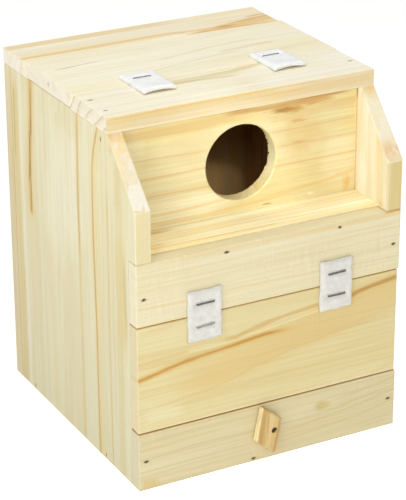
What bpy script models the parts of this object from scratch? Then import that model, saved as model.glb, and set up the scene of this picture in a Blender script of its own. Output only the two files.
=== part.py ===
"""A budgie nest box of thin pine boards, with a hatch lid in its roof and a flap door, both on felt hinges.

Metres, +Z up. The front of the box faces -Y, and +X is to the right of someone who looks at the front. The
origin is at the middle of the footprint, on the surface that the box stands on.
"""

import math

import bmesh
import bpy
from mathutils import Matrix, Vector

MM = 0.001

# The box as a whole
WIDTH = 178 * MM
BOARD = 9.5 * MM  # thickness of every board
GAP = 0.3 * MM  # between pieces that touch
EASE = 0.4 * MM  # sanded edges

# The front, from below: each board stands on the one under it
LOWER_WIDTH = 37.6 * MM  # lower front board
DOOR_FOOT_GAP = 1.3 * MM  # room for the door's inner bottom edge, which dips as the door swings
DOOR_HEIGHT = 67.3 * MM
UPPER_WIDTH = 39.2 * MM  # upper front board
LEDGE_STEP = 1.2 * MM  # the ledge stands this much above the upper board
WOOD_UNDER_ENTRANCE = 7.8 * MM
ENTRANCE_RADIUS = 24 * MM
WOOD_OVER_ENTRANCE = 10.9 * MM
WING_UPRIGHT = 32 * MM  # upright part of a wing's front edge, above the upper board
DOOR_SHORT = 1 * MM  # the door's right end stops short of the boards above and below it
REAR_STRIP_SHORT = 1.2 * MM  # and so does the rear roof strip's

# The roof, from the front face back: each board lies behind the one before it
ROOF_SETBACK = 34 * MM
FRONT_STRIP_WIDTH = 43.7 * MM
LID_WIDTH = 72.2 * MM
REAR_STRIP_WIDTH = 31.1 * MM
PANEL_SETBACK = 3.6 * MM  # the entrance panel's face lies behind the roof's front edge
LID_GAP = 0.8 * MM  # open joint along the lid's hinged and free edges
LID_BEVEL = math.radians(35)

ENTRANCE_SIDES = 64
PANEL_SHRINK = 0.4 * MM  # the entrance panel has dried a little away from the right side

# Felt hinges
FELT = 2.4 * MM
FELT_WIDTH = 22 * MM
DOOR_FELT_HALF = 16 * MM  # to each side of the joint
LID_FELT_FRONT = 20 * MM
LID_FELT_REAR = 12.5 * MM
DOOR_HINGES = {"left": -45.5 * MM, "right": 43.5 * MM}
LID_HINGES = {"left": -42.5 * MM, "right": 45 * MM}

# Staples
CROWN = 12 * MM
LEG = 5.5 * MM
WIRE_WIDE = 1.2 * MM
WIRE_THIN = 0.55 * MM
STAPLE_CLEARANCE = 0.1 * MM
STAPLE_ABOVE = 8 * MM  # from the door's joint up to the staple in the upper board
STAPLE_BELOW = 6.4 * MM
STAPLE_BEHIND = 4.2 * MM  # from the lid's joint back to its staple

# Nails
NAIL_RADIUS = 0.7 * MM
NAIL_HEAD_RADIUS = 1.2 * MM
NAIL_HEAD = 0.8 * MM
NAIL_LENGTH = 20 * MM
NAIL_TIP = 2 * MM
NAIL_SUNK = 0.5 * MM  # below the face of the wood
NAIL_CLEARANCE = 0.1 * MM
NAIL_SIDES = 10
UPPER_NAIL_RISE = 17.5 * MM  # above the door's joint
UPPER_NAILS_X = (-30.5 * MM, 46 * MM)
LOWER_NAIL_DROP = 18.6 * MM  # below the top of the lower board
LOWER_NAIL_X = -11.7 * MM
LOW_NAIL_HEIGHT = 1.9 * MM  # the one that has gone in at the very edge
FLOOR_NAIL_HEIGHT = 3 * MM
FLOOR_NAIL_FRONT = 45 * MM  # from the front face
FLOOR_NAIL_REAR = 31 * MM  # from the back panel's outer face
PANEL_NAIL_DROP = 6.2 * MM  # below the roof boards
LEFT_ROOF_NAIL_FRONT = 11 * MM  # from the roof's front edge
LEFT_ROOF_NAIL_REAR = 31 * MM
RIGHT_ROOF_NAIL = 20 * MM
BACK_NAIL_INSET = 29.5 * MM  # from the foot and the top of the back panel

# Turn-button: a piece cut slantwise from a strip
BUTTON_THICKNESS = 5 * MM
BUTTON_STRIP = 15.3 * MM  # width of the strip
BUTTON_LONG = 22.4 * MM  # length of its long edges
BUTTON_CUT = math.radians(58)  # between a long edge and the slanted cut
BUTTON_LEAN = math.radians(3.6)  # how far its top leans to the right
BUTTON_PIVOT_X = -0.4 * MM
BUTTON_DROP = 16.7 * MM  # from the top of the lower board down to the pivot
BUTTON_OFF_CENTRE = (-3.5 * MM, 0.6 * MM)  # from the pivot to the middle of the block
BUTTON_EASE = 0.6 * MM
BUTTON_HOLE_RADIUS = 1.9 * MM
BUTTON_HOLE_DEPTH = 1.9 * MM
BUTTON_NAIL_RADIUS = 1 * MM
BUTTON_NAIL_HEAD_RADIUS = 1.6 * MM
BUTTON_NAIL_HEAD = 0.8 * MM
BUTTON_NAIL_LENGTH = 11.5 * MM
BUTTON_NAIL_CLEARANCE = 0.2 * MM

# Worked out from the sizes above
HINGE_HEIGHT = LOWER_WIDTH + DOOR_FOOT_GAP + DOOR_HEIGHT + GAP  # joint between the door and the upper board
UPPER_TOP = HINGE_HEIGHT + GAP + UPPER_WIDTH
LEDGE_TOP = UPPER_TOP + LEDGE_STEP
ENTRANCE_HEIGHT = LEDGE_TOP + GAP + WOOD_UNDER_ENTRANCE + ENTRANCE_RADIUS
ROOF_UNDER = ENTRANCE_HEIGHT + ENTRANCE_RADIUS + WOOD_OVER_ENTRANCE + GAP
HEIGHT = ROOF_UNDER + BOARD
LID_FRONT = ROOF_SETBACK + FRONT_STRIP_WIDTH
LID_REAR = LID_FRONT + LID_WIDTH
DEPTH = LID_REAR + REAR_STRIP_WIDTH  # from the face of the front boards to the outer face of the back panel
HALF = WIDTH / 2
INNER = HALF - BOARD  # half the room between the sides
FRONT = -(DEPTH - GAP - BUTTON_THICKNESS) / 2  # y of the front boards' face
PANEL_FACE = ROOF_SETBACK + PANEL_SETBACK
PANEL_BACK = PANEL_FACE + BOARD
BACK_FACE = DEPTH - BOARD  # depth of the back panel's inner face
EDGE_MIDDLE = HALF - BOARD / 2  # x of the middle of a side's edge
BEVEL_RUN = BOARD * math.tan(LID_BEVEL)
HINGE_STANDOFF = GAP + FELT / 2  # the felt bends about its own middle
CUTTER_OVER = 1 * MM  # how far a cutter stands out of the face that it enters

LENGTHWISE = Vector((1, 0, 0))
INWARD = Vector((0, 1, 0))
UPWARD = Vector((0, 0, 1))

for leftover in list(bpy.data.objects):
    bpy.data.objects.remove(leftover, do_unlink=True)


def finish(name, colour, roughness, metallic=0.0):
    """A Principled material; the colour is linear."""
    material = bpy.data.materials.new(name)
    material.use_nodes = True
    shader = material.node_tree.nodes["Principled BSDF"]
    shader.inputs["Base Color"].default_value = (*colour, 1)
    shader.inputs["Roughness"].default_value = roughness
    shader.inputs["Metallic"].default_value = metallic
    return material


PINE = finish("pine", (0.84, 0.70, 0.42), 0.6)
PINE_WARM = finish("warm_pine", (0.80, 0.58, 0.28), 0.6)
FELT_WHITE = finish("felt", (0.88, 0.88, 0.86), 0.95)
WIRE = finish("staple_wire", (0.32, 0.31, 0.29), 0.4, 1.0)
STEEL = finish("nail_steel", (0.16, 0.15, 0.14), 0.5, 1.0)


def at(x, depth, height):
    """A place in the box: x from its middle, depth behind its front face, and height."""
    return Vector((x, FRONT + depth, height))


def add(name, mesh, material, origin):
    """An object whose mesh is given in the box's own coordinates and whose origin is the given point."""
    mesh.transform(Matrix.Translation(-origin))
    mesh.materials.append(material)
    piece = bpy.data.objects.new(name, mesh)
    piece.location = origin
    bpy.context.scene.collection.objects.link(piece)
    return piece


def mesh_from(name, bm):
    bmesh.ops.recalc_face_normals(bm, faces=bm.faces)
    mesh = bpy.data.meshes.new(name)
    bm.to_mesh(mesh)
    bm.free()
    return mesh


def prism(name, outline, along):
    """The solid swept from a flat outline, a list of points, by the vector along."""
    bm = bmesh.new()
    face = bm.faces.new([bm.verts.new(point) for point in outline])
    swept = bmesh.ops.extrude_face_region(bm, geom=[face])
    moved = [item for item in swept["geom"] if isinstance(item, bmesh.types.BMVert)]
    bmesh.ops.translate(bm, verts=moved, vec=along)
    return mesh_from(name, bm)


def turned(name, profile, start, direction, sides):
    """The solid turned from a profile, pairs of radius and distance along the axis from start."""
    bm = bmesh.new()
    points = [bm.verts.new((radius, 0, distance)) for radius, distance in profile]
    edges = [bm.edges.new(pair) for pair in zip(points, points[1:])]
    bmesh.ops.spin(
        bm, geom=points + edges, axis=(0, 0, 1), cent=(0, 0, 0), angle=math.tau, steps=sides, use_merge=True
    )
    bmesh.ops.remove_doubles(bm, verts=bm.verts, dist=1e-6)
    turn = UPWARD.rotation_difference(direction).to_matrix().to_4x4()
    bmesh.ops.transform(bm, matrix=Matrix.Translation(start) @ turn, verts=bm.verts)
    return mesh_from(name, bm)


def round_edges(piece, width=EASE):
    ease = piece.modifiers.new("eased_edges", "BEVEL")
    ease.width = width
    ease.segments = 1
    ease.limit_method = "ANGLE"
    ease.angle_limit = math.radians(30)


def board(name, low, high, material=PINE, origin=None):
    """A squared board between two opposite corners."""
    outline = [(low.x, low.y, low.z), (high.x, low.y, low.z), (high.x, high.y, low.z), (low.x, high.y, low.z)]
    mesh = prism(name, outline, Vector((0, 0, high.z - low.z)))
    piece = add(name, mesh, material, (low + high) / 2 if origin is None else origin)
    round_edges(piece)
    return piece


def long_board(name, left, right, outline, material=PINE, origin=None):
    """A board of one section, outline in pairs of depth and height, from x left to x right."""
    points = [at(left, depth, height) for depth, height in outline]
    middle = sum((point for point in points), Vector()) / len(points) + LENGTHWISE * (right - left) / 2
    mesh = prism(name, points, LENGTHWISE * (right - left))
    piece = add(name, mesh, material, middle if origin is None else origin)
    round_edges(piece)
    return piece


def cut(piece, cutter):
    hole = piece.modifiers.new(cutter.name, "BOOLEAN")
    hole.object = cutter
    hole.operation = "DIFFERENCE"
    hole.solver = "EXACT"


def hide(cutter):
    cutter.hide_render = True
    cutter.display_type = "WIRE"


def smooth(piece):
    piece.data.shade_smooth()
    piece.data.set_sharp_from_angle(angle=math.radians(40))


def nail(name, head_point, direction, boards):
    """A nail whose sunk head lies under head_point, a point on the wood's face, with its hole in each board."""
    shank_end = NAIL_SUNK + NAIL_LENGTH
    profile = [
        (0, NAIL_SUNK),
        (NAIL_HEAD_RADIUS, NAIL_SUNK),
        (NAIL_HEAD_RADIUS, NAIL_SUNK + NAIL_HEAD),
        (NAIL_RADIUS, NAIL_SUNK + NAIL_HEAD),
        (NAIL_RADIUS, shank_end - NAIL_TIP),
        (0, shank_end),
    ]
    nail_mesh = turned(name, profile, head_point, direction, NAIL_SIDES)
    piece = add(name, nail_mesh, STEEL, head_point.copy())
    smooth(piece)
    wide = NAIL_HEAD_RADIUS + NAIL_CLEARANCE
    narrow = NAIL_RADIUS + NAIL_CLEARANCE
    hole_profile = [
        (0, -CUTTER_OVER),
        (wide, -CUTTER_OVER),
        (wide, NAIL_SUNK + NAIL_HEAD + NAIL_CLEARANCE),
        (narrow, NAIL_SUNK + NAIL_HEAD + NAIL_CLEARANCE),
        (narrow, shank_end - NAIL_TIP),
        (0, shank_end + NAIL_CLEARANCE),
    ]
    hole_mesh = turned(name + "_hole", hole_profile, head_point, direction, NAIL_SIDES)
    cutter = add(name + "_hole", hole_mesh, STEEL, head_point.copy())
    hide(cutter)
    for wood in boards:
        cut(wood, cutter)
    return piece


def bar(name, middle, across, inward, size):
    """A box with its sizes along across, inward and their cross product, about the given middle."""
    third = across.cross(inward)
    half = size / 2
    corner = middle - across * half.x - inward * half.y - third * half.z
    outline = [
        corner,
        corner + across * size.x,
        corner + across * size.x + inward * size.y,
        corner + inward * size.y,
    ]
    return prism(name, outline, third * size.z)


def staple(name, surface_point, inward, felt, wood, origin):
    """A staple pressed into the felt: surface_point is the middle of its crown on the felt's outer face."""
    half = CROWN / 2
    foot = WIRE_THIN + LEG
    third = LENGTHWISE.cross(inward)
    shape = [
        (-half, 0),
        (half, 0),
        (half, foot),
        (half - WIRE_THIN, foot),
        (half - WIRE_THIN, WIRE_THIN),
        (WIRE_THIN - half, WIRE_THIN),
        (WIRE_THIN - half, foot),
        (-half, foot),
    ]
    start = surface_point - third * WIRE_WIDE / 2
    outline = [start + LENGTHWISE * x + inward * deep for x, deep in shape]
    piece = add(name, prism(name, outline, third * WIRE_WIDE), WIRE, origin)
    room = 2 * STAPLE_CLEARANCE
    trench_depth = WIRE_THIN + STAPLE_CLEARANCE + CUTTER_OVER
    trench_middle = surface_point + inward * (trench_depth / 2 - CUTTER_OVER)
    trench_size = Vector((CROWN + room, trench_depth, WIRE_WIDE + room))
    trench = bar(name + "_trench", trench_middle, LENGTHWISE, inward, trench_size)
    trench_cutter = add(name + "_trench", trench, WIRE, surface_point.copy())
    hide(trench_cutter)
    cut(felt, trench_cutter)
    for side, sign in (("left", -1), ("right", 1)):
        leg_middle = surface_point + LENGTHWISE * sign * (half - WIRE_THIN / 2) + inward * foot / 2
        leg_size = Vector((WIRE_THIN + room, foot + room, WIRE_WIDE + room))
        leg_name = f"{name}_{side}_leg_hole"
        leg_hole = add(leg_name, bar(leg_name, leg_middle, LENGTHWISE, inward, leg_size), WIRE, leg_middle)
        hide(leg_hole)
        cut(felt, leg_hole)
        cut(wood, leg_hole)
    return piece


# Side panels: notched below for the front boards, with a wing above that ends in a slanted edge
side_outline = [
    (BOARD + GAP, 0),
    (BOARD + GAP, UPPER_TOP + GAP),
    (0, UPPER_TOP + GAP),
    (0, UPPER_TOP + WING_UPRIGHT),
    (ROOF_SETBACK, ROOF_UNDER - GAP),
    (BACK_FACE - GAP, ROOF_UNDER - GAP),
    (BACK_FACE - GAP, 0),
]
side_left = long_board("side_left", -HALF, -INNER, side_outline)
side_right = long_board("side_right", INNER, HALF, side_outline)

# Back panel: over the rear edges of the sides and of the floor
back_panel = board("back_panel", at(-HALF, BACK_FACE, 0), at(HALF, DEPTH, ROOF_UNDER - GAP))

# Floor: between the sides
floor_board = board("floor_board", at(GAP - INNER, BOARD + GAP, 0), at(INNER - GAP, BACK_FACE - GAP, BOARD))

# Porch ledge: reaches back under the entrance panel, which stands on it
porch_ledge = board(
    "porch_ledge", at(GAP - INNER, BOARD + GAP, LEDGE_TOP - BOARD), at(INNER - GAP, PANEL_BACK, LEDGE_TOP)
)

# Entrance panel, with its round hole
entrance_panel = board(
    "entrance_panel",
    at(GAP - INNER, PANEL_FACE, LEDGE_TOP + GAP),
    at(INNER - GAP - PANEL_SHRINK, PANEL_BACK, ROOF_UNDER - GAP),
    PINE_WARM,
)
entrance_profile = [
    (0, -CUTTER_OVER),
    (ENTRANCE_RADIUS, -CUTTER_OVER),
    (ENTRANCE_RADIUS, BOARD + CUTTER_OVER),
    (0, BOARD + CUTTER_OVER),
]
entrance_start = at(0, PANEL_FACE, ENTRANCE_HEIGHT)
entrance_mesh = turned("entrance", entrance_profile, entrance_start, INWARD, ENTRANCE_SIDES)
entrance = add("entrance", entrance_mesh, PINE, entrance_start)
hide(entrance)
cut(entrance_panel, entrance)

# Front boards: over the front edges of the sides
front_board_upper = board(
    "front_board_upper", at(-HALF, 0, HINGE_HEIGHT + GAP), at(HALF, BOARD, UPPER_TOP)
)
front_board_lower = board("front_board_lower", at(-HALF, 0, 0), at(HALF, BOARD, LOWER_WIDTH))

# Flap door: hangs from the joint under the upper board, and turns about the middle of the felt
door_axis = at(0, -HINGE_STANDOFF, HINGE_HEIGHT)
front_door = board(
    "front_door",
    at(-HALF, 0, LOWER_WIDTH + DOOR_FOOT_GAP),
    at(HALF - DOOR_SHORT, BOARD, HINGE_HEIGHT - GAP),
    PINE_WARM,
    door_axis,
)

# Roof: a fixed strip, the hatch lid and another fixed strip. The lid is wider on top than below, so its
# bevelled edges bear on those of the strips, and it lifts clear of them as it turns about the front joint.
lid_axis = at(0, LID_FRONT, HEIGHT + HINGE_STANDOFF)
strip_edge = LID_FRONT - LID_GAP / 2
roof_strip_front = long_board(
    "roof_strip_front",
    -HALF,
    HALF,
    [
        (ROOF_SETBACK, ROOF_UNDER),
        (strip_edge + BEVEL_RUN, ROOF_UNDER),
        (strip_edge, HEIGHT),
        (ROOF_SETBACK, HEIGHT),
    ],
)
hatch_lid = long_board(
    "hatch_lid",
    -HALF,
    HALF,
    [
        (LID_FRONT + LID_GAP / 2 + BEVEL_RUN, ROOF_UNDER),
        (LID_REAR - LID_GAP / 2 - BEVEL_RUN, ROOF_UNDER),
        (LID_REAR - LID_GAP / 2, HEIGHT),
        (LID_FRONT + LID_GAP / 2, HEIGHT),
    ],
    origin=lid_axis,
)
rear_edge = LID_REAR + LID_GAP / 2
roof_strip_rear = long_board(
    "roof_strip_rear",
    -HALF,
    HALF - REAR_STRIP_SHORT,
    [
        (rear_edge - BEVEL_RUN, ROOF_UNDER),
        (DEPTH, ROOF_UNDER),
        (DEPTH, HEIGHT),
        (rear_edge, HEIGHT),
    ],
)


def felt_patch(name, low, high):
    """A rectangle of felt between two opposite corners."""
    patch = board(name, low, high, FELT_WHITE)
    patch.modifiers["eased_edges"].width = FELT / 4
    return patch


# Felt hinges of the door, each with a staple above and one below the joint
for side, x in DOOR_HINGES.items():
    felt = felt_patch(
        f"door_hinge_{side}",
        at(x - FELT_WIDTH / 2, -GAP - FELT, HINGE_HEIGHT - DOOR_FELT_HALF),
        at(x + FELT_WIDTH / 2, -GAP, HINGE_HEIGHT + DOOR_FELT_HALF),
    )
    above = at(x, -GAP - FELT, HINGE_HEIGHT + STAPLE_ABOVE)
    below = at(x, -GAP - FELT, HINGE_HEIGHT - STAPLE_BELOW)
    staple(f"staple_door_{side}_upper", above, INWARD, felt, front_board_upper, above.copy())
    staple(f"staple_door_{side}_lower", below, INWARD, felt, front_door, door_axis)

# Felt hinges of the lid, each with a staple behind the joint
for side, x in LID_HINGES.items():
    felt = felt_patch(
        f"lid_hinge_{side}",
        at(x - FELT_WIDTH / 2, LID_FRONT - LID_FELT_FRONT, HEIGHT + GAP),
        at(x + FELT_WIDTH / 2, LID_FRONT + LID_FELT_REAR, HEIGHT + GAP + FELT),
    )
    behind = at(x, LID_FRONT + STAPLE_BEHIND, HEIGHT + GAP + FELT)
    staple(f"staple_lid_{side}", behind, -UPWARD, felt, hatch_lid, lid_axis)

# Turn-button: a slanted block cut from a strip, which turns on its nail in front of the lower board
button_axis = at(BUTTON_PIVOT_X, -GAP - BUTTON_THICKNESS, LOWER_WIDTH - BUTTON_DROP)
cut_run = BUTTON_STRIP / math.tan(BUTTON_CUT)
button_corners = [
    (-BUTTON_STRIP / 2, (BUTTON_LONG + cut_run) / 2),
    (-BUTTON_STRIP / 2, (cut_run - BUTTON_LONG) / 2),
    (BUTTON_STRIP / 2, -(BUTTON_LONG + cut_run) / 2),
    (BUTTON_STRIP / 2, (BUTTON_LONG - cut_run) / 2),
]
off_x, off_height = BUTTON_OFF_CENTRE
lean = Matrix.Rotation(BUTTON_LEAN, 3, "Y")
button_middle = button_axis + Vector((off_x, 0, off_height))
button_outline = [button_middle + lean @ Vector((x, 0, height)) for x, height in button_corners]
turn_button = add(
    "turn_button", prism("turn_button", button_outline, INWARD * BUTTON_THICKNESS), PINE_WARM, button_axis
)
round_edges(turn_button, BUTTON_EASE)

# Nail that the turn-button turns on; its head lies in a counterbore
head_top = BUTTON_HOLE_DEPTH - BUTTON_NAIL_HEAD - BUTTON_NAIL_CLEARANCE
head_under = head_top + BUTTON_NAIL_HEAD
nail_end = head_top + BUTTON_NAIL_LENGTH
button_nail_profile = [
    (0, head_top),
    (BUTTON_NAIL_HEAD_RADIUS, head_top),
    (BUTTON_NAIL_HEAD_RADIUS, head_under),
    (BUTTON_NAIL_RADIUS, head_under),
    (BUTTON_NAIL_RADIUS, nail_end - NAIL_TIP),
    (0, nail_end),
]
button_nail = add(
    "button_nail",
    turned("button_nail", button_nail_profile, button_axis, INWARD, 2 * NAIL_SIDES),
    STEEL,
    button_axis.copy(),
)
smooth(button_nail)
bore = BUTTON_NAIL_RADIUS + BUTTON_NAIL_CLEARANCE
button_hole_profile = [
    (0, -CUTTER_OVER),
    (BUTTON_HOLE_RADIUS, -CUTTER_OVER),
    (BUTTON_HOLE_RADIUS, BUTTON_HOLE_DEPTH),
    (bore, BUTTON_HOLE_DEPTH),
    (bore, BUTTON_THICKNESS + CUTTER_OVER),
    (0, BUTTON_THICKNESS + CUTTER_OVER),
]
button_hole = add(
    "button_hole",
    turned("button_hole", button_hole_profile, button_axis, INWARD, 2 * NAIL_SIDES),
    STEEL,
    button_axis.copy(),
)
hide(button_hole)
cut(turn_button, button_hole)
pilot = BUTTON_NAIL_RADIUS + NAIL_CLEARANCE
pilot_profile = [
    (0, BUTTON_THICKNESS),
    (pilot, BUTTON_THICKNESS),
    (pilot, nail_end - NAIL_TIP),
    (0, nail_end + NAIL_CLEARANCE),
]
pilot_hole = add(
    "button_pilot_hole",
    turned("button_pilot_hole", pilot_profile, button_axis, INWARD, 2 * NAIL_SIDES),
    STEEL,
    button_axis.copy(),
)
hide(pilot_hole)
cut(front_board_lower, pilot_hole)

# Nails through the front boards, the sides and the back panel, most of them the same on both sides
back_nail_low = BACK_NAIL_INSET
back_nail_high = ROOF_UNDER - BACK_NAIL_INSET
back_nail_heights = {
    "low": back_nail_low,
    "middle": (back_nail_low + back_nail_high) / 2,
    "high": back_nail_high,
}
for number, x in enumerate(UPPER_NAILS_X, start=1):
    point = at(x, 0, LEDGE_TOP - BOARD / 2)
    nail(f"nail_ledge_{number}", point, INWARD, [front_board_upper, porch_ledge])
for side_name, sign, side_board in (("left", -1, side_left), ("right", 1, side_right)):
    x = sign * EDGE_MIDDLE
    point = at(x, 0, HINGE_HEIGHT + UPPER_NAIL_RISE)
    nail(f"nail_upper_{side_name}", point, INWARD, [front_board_upper, side_board])
    point = at(x, 0, LOWER_WIDTH - LOWER_NAIL_DROP)
    nail(f"nail_lower_{side_name}", point, INWARD, [front_board_lower, side_board])
    point = at(sign * HALF, PANEL_FACE + BOARD / 2, ROOF_UNDER - PANEL_NAIL_DROP)
    nail(f"nail_panel_{side_name}", point, -sign * LENGTHWISE, [side_board, entrance_panel])
    for place, depth in (("front", FLOOR_NAIL_FRONT), ("rear", DEPTH - FLOOR_NAIL_REAR)):
        point = at(sign * HALF, depth, FLOOR_NAIL_HEIGHT)
        nail(f"nail_floor_{side_name}_{place}", point, -sign * LENGTHWISE, [side_board, floor_board])
    for place, height in back_nail_heights.items():
        point = at(x, DEPTH, height)
        nail(f"nail_back_{side_name}_{place}", point, -INWARD, [back_panel, side_board])

# Nails into the floor's front and rear edges
nail("nail_lower_floor", at(LOWER_NAIL_X, 0, LOW_NAIL_HEIGHT), INWARD, [front_board_lower, floor_board])
nail("nail_back_floor", at(0, DEPTH, BOARD / 2), -INWARD, [back_panel, floor_board])

# Nails down through the front roof strip into the sides
for place, x, behind_edge, below_strip in (
    ("left_front", -EDGE_MIDDLE, LEFT_ROOF_NAIL_FRONT, side_left),
    ("left_rear", -EDGE_MIDDLE, LEFT_ROOF_NAIL_REAR, side_left),
    ("right", EDGE_MIDDLE, RIGHT_ROOF_NAIL, side_right),
):
    point = at(x, ROOF_SETBACK + behind_edge, HEIGHT)
    nail(f"nail_roof_{place}", point, -UPWARD, [roof_strip_front, below_strip])
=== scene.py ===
"""The looks of a budgie nest box of bare pine, with a hatch lid and a flap door on felt hinges.

Metres, +Z up, and the front faces -Y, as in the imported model. A size that a maker would measure is in millimetres.
"""

import math

import bmesh
import bpy
from mathutils import Matrix, Vector, noise


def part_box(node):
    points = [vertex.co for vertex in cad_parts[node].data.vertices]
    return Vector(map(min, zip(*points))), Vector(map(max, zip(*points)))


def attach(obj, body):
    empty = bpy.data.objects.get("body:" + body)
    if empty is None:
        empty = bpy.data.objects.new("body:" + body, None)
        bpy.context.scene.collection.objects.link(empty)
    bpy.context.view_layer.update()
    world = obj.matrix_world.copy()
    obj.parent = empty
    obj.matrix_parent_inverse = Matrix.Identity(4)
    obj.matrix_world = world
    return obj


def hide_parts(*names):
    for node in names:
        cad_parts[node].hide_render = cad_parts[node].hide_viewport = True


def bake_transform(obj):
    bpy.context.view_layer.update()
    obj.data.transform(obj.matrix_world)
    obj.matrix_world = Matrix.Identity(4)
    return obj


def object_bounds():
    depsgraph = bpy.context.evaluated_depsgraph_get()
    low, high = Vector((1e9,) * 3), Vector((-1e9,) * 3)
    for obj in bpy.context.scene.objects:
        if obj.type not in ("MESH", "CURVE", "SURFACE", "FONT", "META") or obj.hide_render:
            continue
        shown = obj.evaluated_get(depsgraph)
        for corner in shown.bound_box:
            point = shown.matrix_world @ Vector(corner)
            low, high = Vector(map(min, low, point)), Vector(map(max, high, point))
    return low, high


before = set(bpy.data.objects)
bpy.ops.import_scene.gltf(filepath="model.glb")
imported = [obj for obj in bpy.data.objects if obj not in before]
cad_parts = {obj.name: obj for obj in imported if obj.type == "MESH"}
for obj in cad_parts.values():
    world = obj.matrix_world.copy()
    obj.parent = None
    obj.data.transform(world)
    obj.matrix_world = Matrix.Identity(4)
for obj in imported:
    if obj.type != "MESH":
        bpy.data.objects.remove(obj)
cad_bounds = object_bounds()

# Side panels: each is one planed pine board with upright grain, left bare. The lower front is notched for the front
# boards, and the wing above them ends in a slanted cut, which the saw left rough. They carry every other board.

MM = 0.001
AXES = "XYZ"
EASED = 0.35 * MM
SHORTEST_ARRIS = 9.2 * MM
HEAD_HOLE = 1.5 * MM

END_GRAIN = "#ECE3D2"
END_MARKS = "#CDBF95"
RESIN = "#C98F45"
NAIL_STAIN = "#4E3D26"
FAINT_STAIN = "#93805A"
WORN = "#F7ECCB"
FRONT_FACE = -87.85


def linear(hex_colour):
    """An sRGB colour written as hex, as the linear colour that a shader takes."""
    channels = [int(hex_colour[start : start + 2], 16) / 255 for start in (1, 3, 5)]
    return [c / 12.92 if c <= 0.04045 else ((c + 0.055) / 1.055) ** 2.4 for c in channels] + [1.0]


def add(tree, kind, inputs=None, **settings):
    """Adds a node to a material with its settings. Each input, by name or number, is a value or what feeds it."""
    made = tree.nodes.new(kind)
    for name, value in settings.items():
        setattr(made, name, value)
    for key, value in (inputs or {}).items():
        named = [socket for socket in made.inputs if socket.enabled and socket.name == key]
        socket = named[0] if named else made.inputs[key]
        if isinstance(value, bpy.types.Node):
            value = next(output for output in value.outputs if output.enabled)
        if isinstance(value, bpy.types.NodeSocket):
            tree.links.new(value, socket)
        else:
            socket.default_value = value
    return made


def material_named(name):
    """A new material and its nodes' tree and shader."""
    material = bpy.data.materials.new(name)
    material.use_nodes = True
    return material, material.node_tree, material.node_tree.nodes["Principled BSDF"]


def head_of(nail):
    """Where a nail's head lies: the end of the nail that is further from the middle of the nest box."""
    low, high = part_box(nail)
    middle = (low + high) / 2
    size = high - low
    long_axis = max(range(3), key=lambda axis: size[axis])
    box_middle = sum(cad_bounds, Vector()) / 2
    outward = middle[long_axis] > box_middle[long_axis]
    middle[long_axis] = high[long_axis] if outward else low[long_axis]
    return middle, long_axis


def planed(node, body, material, nails=(), shape=None, hole=1.0):
    """The board itself: its parts merged, its arrises eased with sandpaper, and the wood torn round each nail."""
    bm = bmesh.new()
    bm.from_mesh(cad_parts[node].data)
    bmesh.ops.remove_doubles(bm, verts=bm.verts, dist=0.001 * MM)
    bmesh.ops.dissolve_limit(bm, angle_limit=math.radians(1), verts=bm.verts, edges=bm.edges)
    arrises = [
        edge
        for edge in bm.edges
        if edge.calc_length() > SHORTEST_ARRIS and edge.calc_face_angle() > math.radians(30)
    ]
    bmesh.ops.bevel(
        bm,
        geom=arrises,
        offset=EASED,
        offset_type="OFFSET",
        affect="EDGES",
        segments=2,
        profile=0.5,
        material=-1,
        clamp_overlap=False,
    )
    for number, nail in enumerate(nails):
        head, through = head_of(nail)
        one, other = [axis for axis in range(3) if axis != through]
        for vert in bm.verts:
            off = vert.co - head
            if math.hypot(off[one], off[other]) < HEAD_HOLE and abs(off[through]) < 0.8 * MM:
                angle = math.atan2(off[other], off[one])
                shut = 0.55 + 0.3 * math.cos(2 * angle + number * 1.9) + 0.12 * math.sin(3 * angle + number)
                shut *= hole
                vert.co[one] = head[one] + off[one] * shut
                vert.co[other] = head[other] + off[other] * shut
    if shape:
        shape(bm)
    for face in bm.faces:
        face.smooth = False
    mesh = bpy.data.meshes.new(f"planed_{node}")
    bm.to_mesh(mesh)
    bm.free()
    mesh.materials.append(material)
    piece = bpy.data.objects.new(mesh.name, mesh)
    bpy.context.scene.collection.objects.link(piece)
    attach(piece, body)
    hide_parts(node)
    return piece


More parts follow.
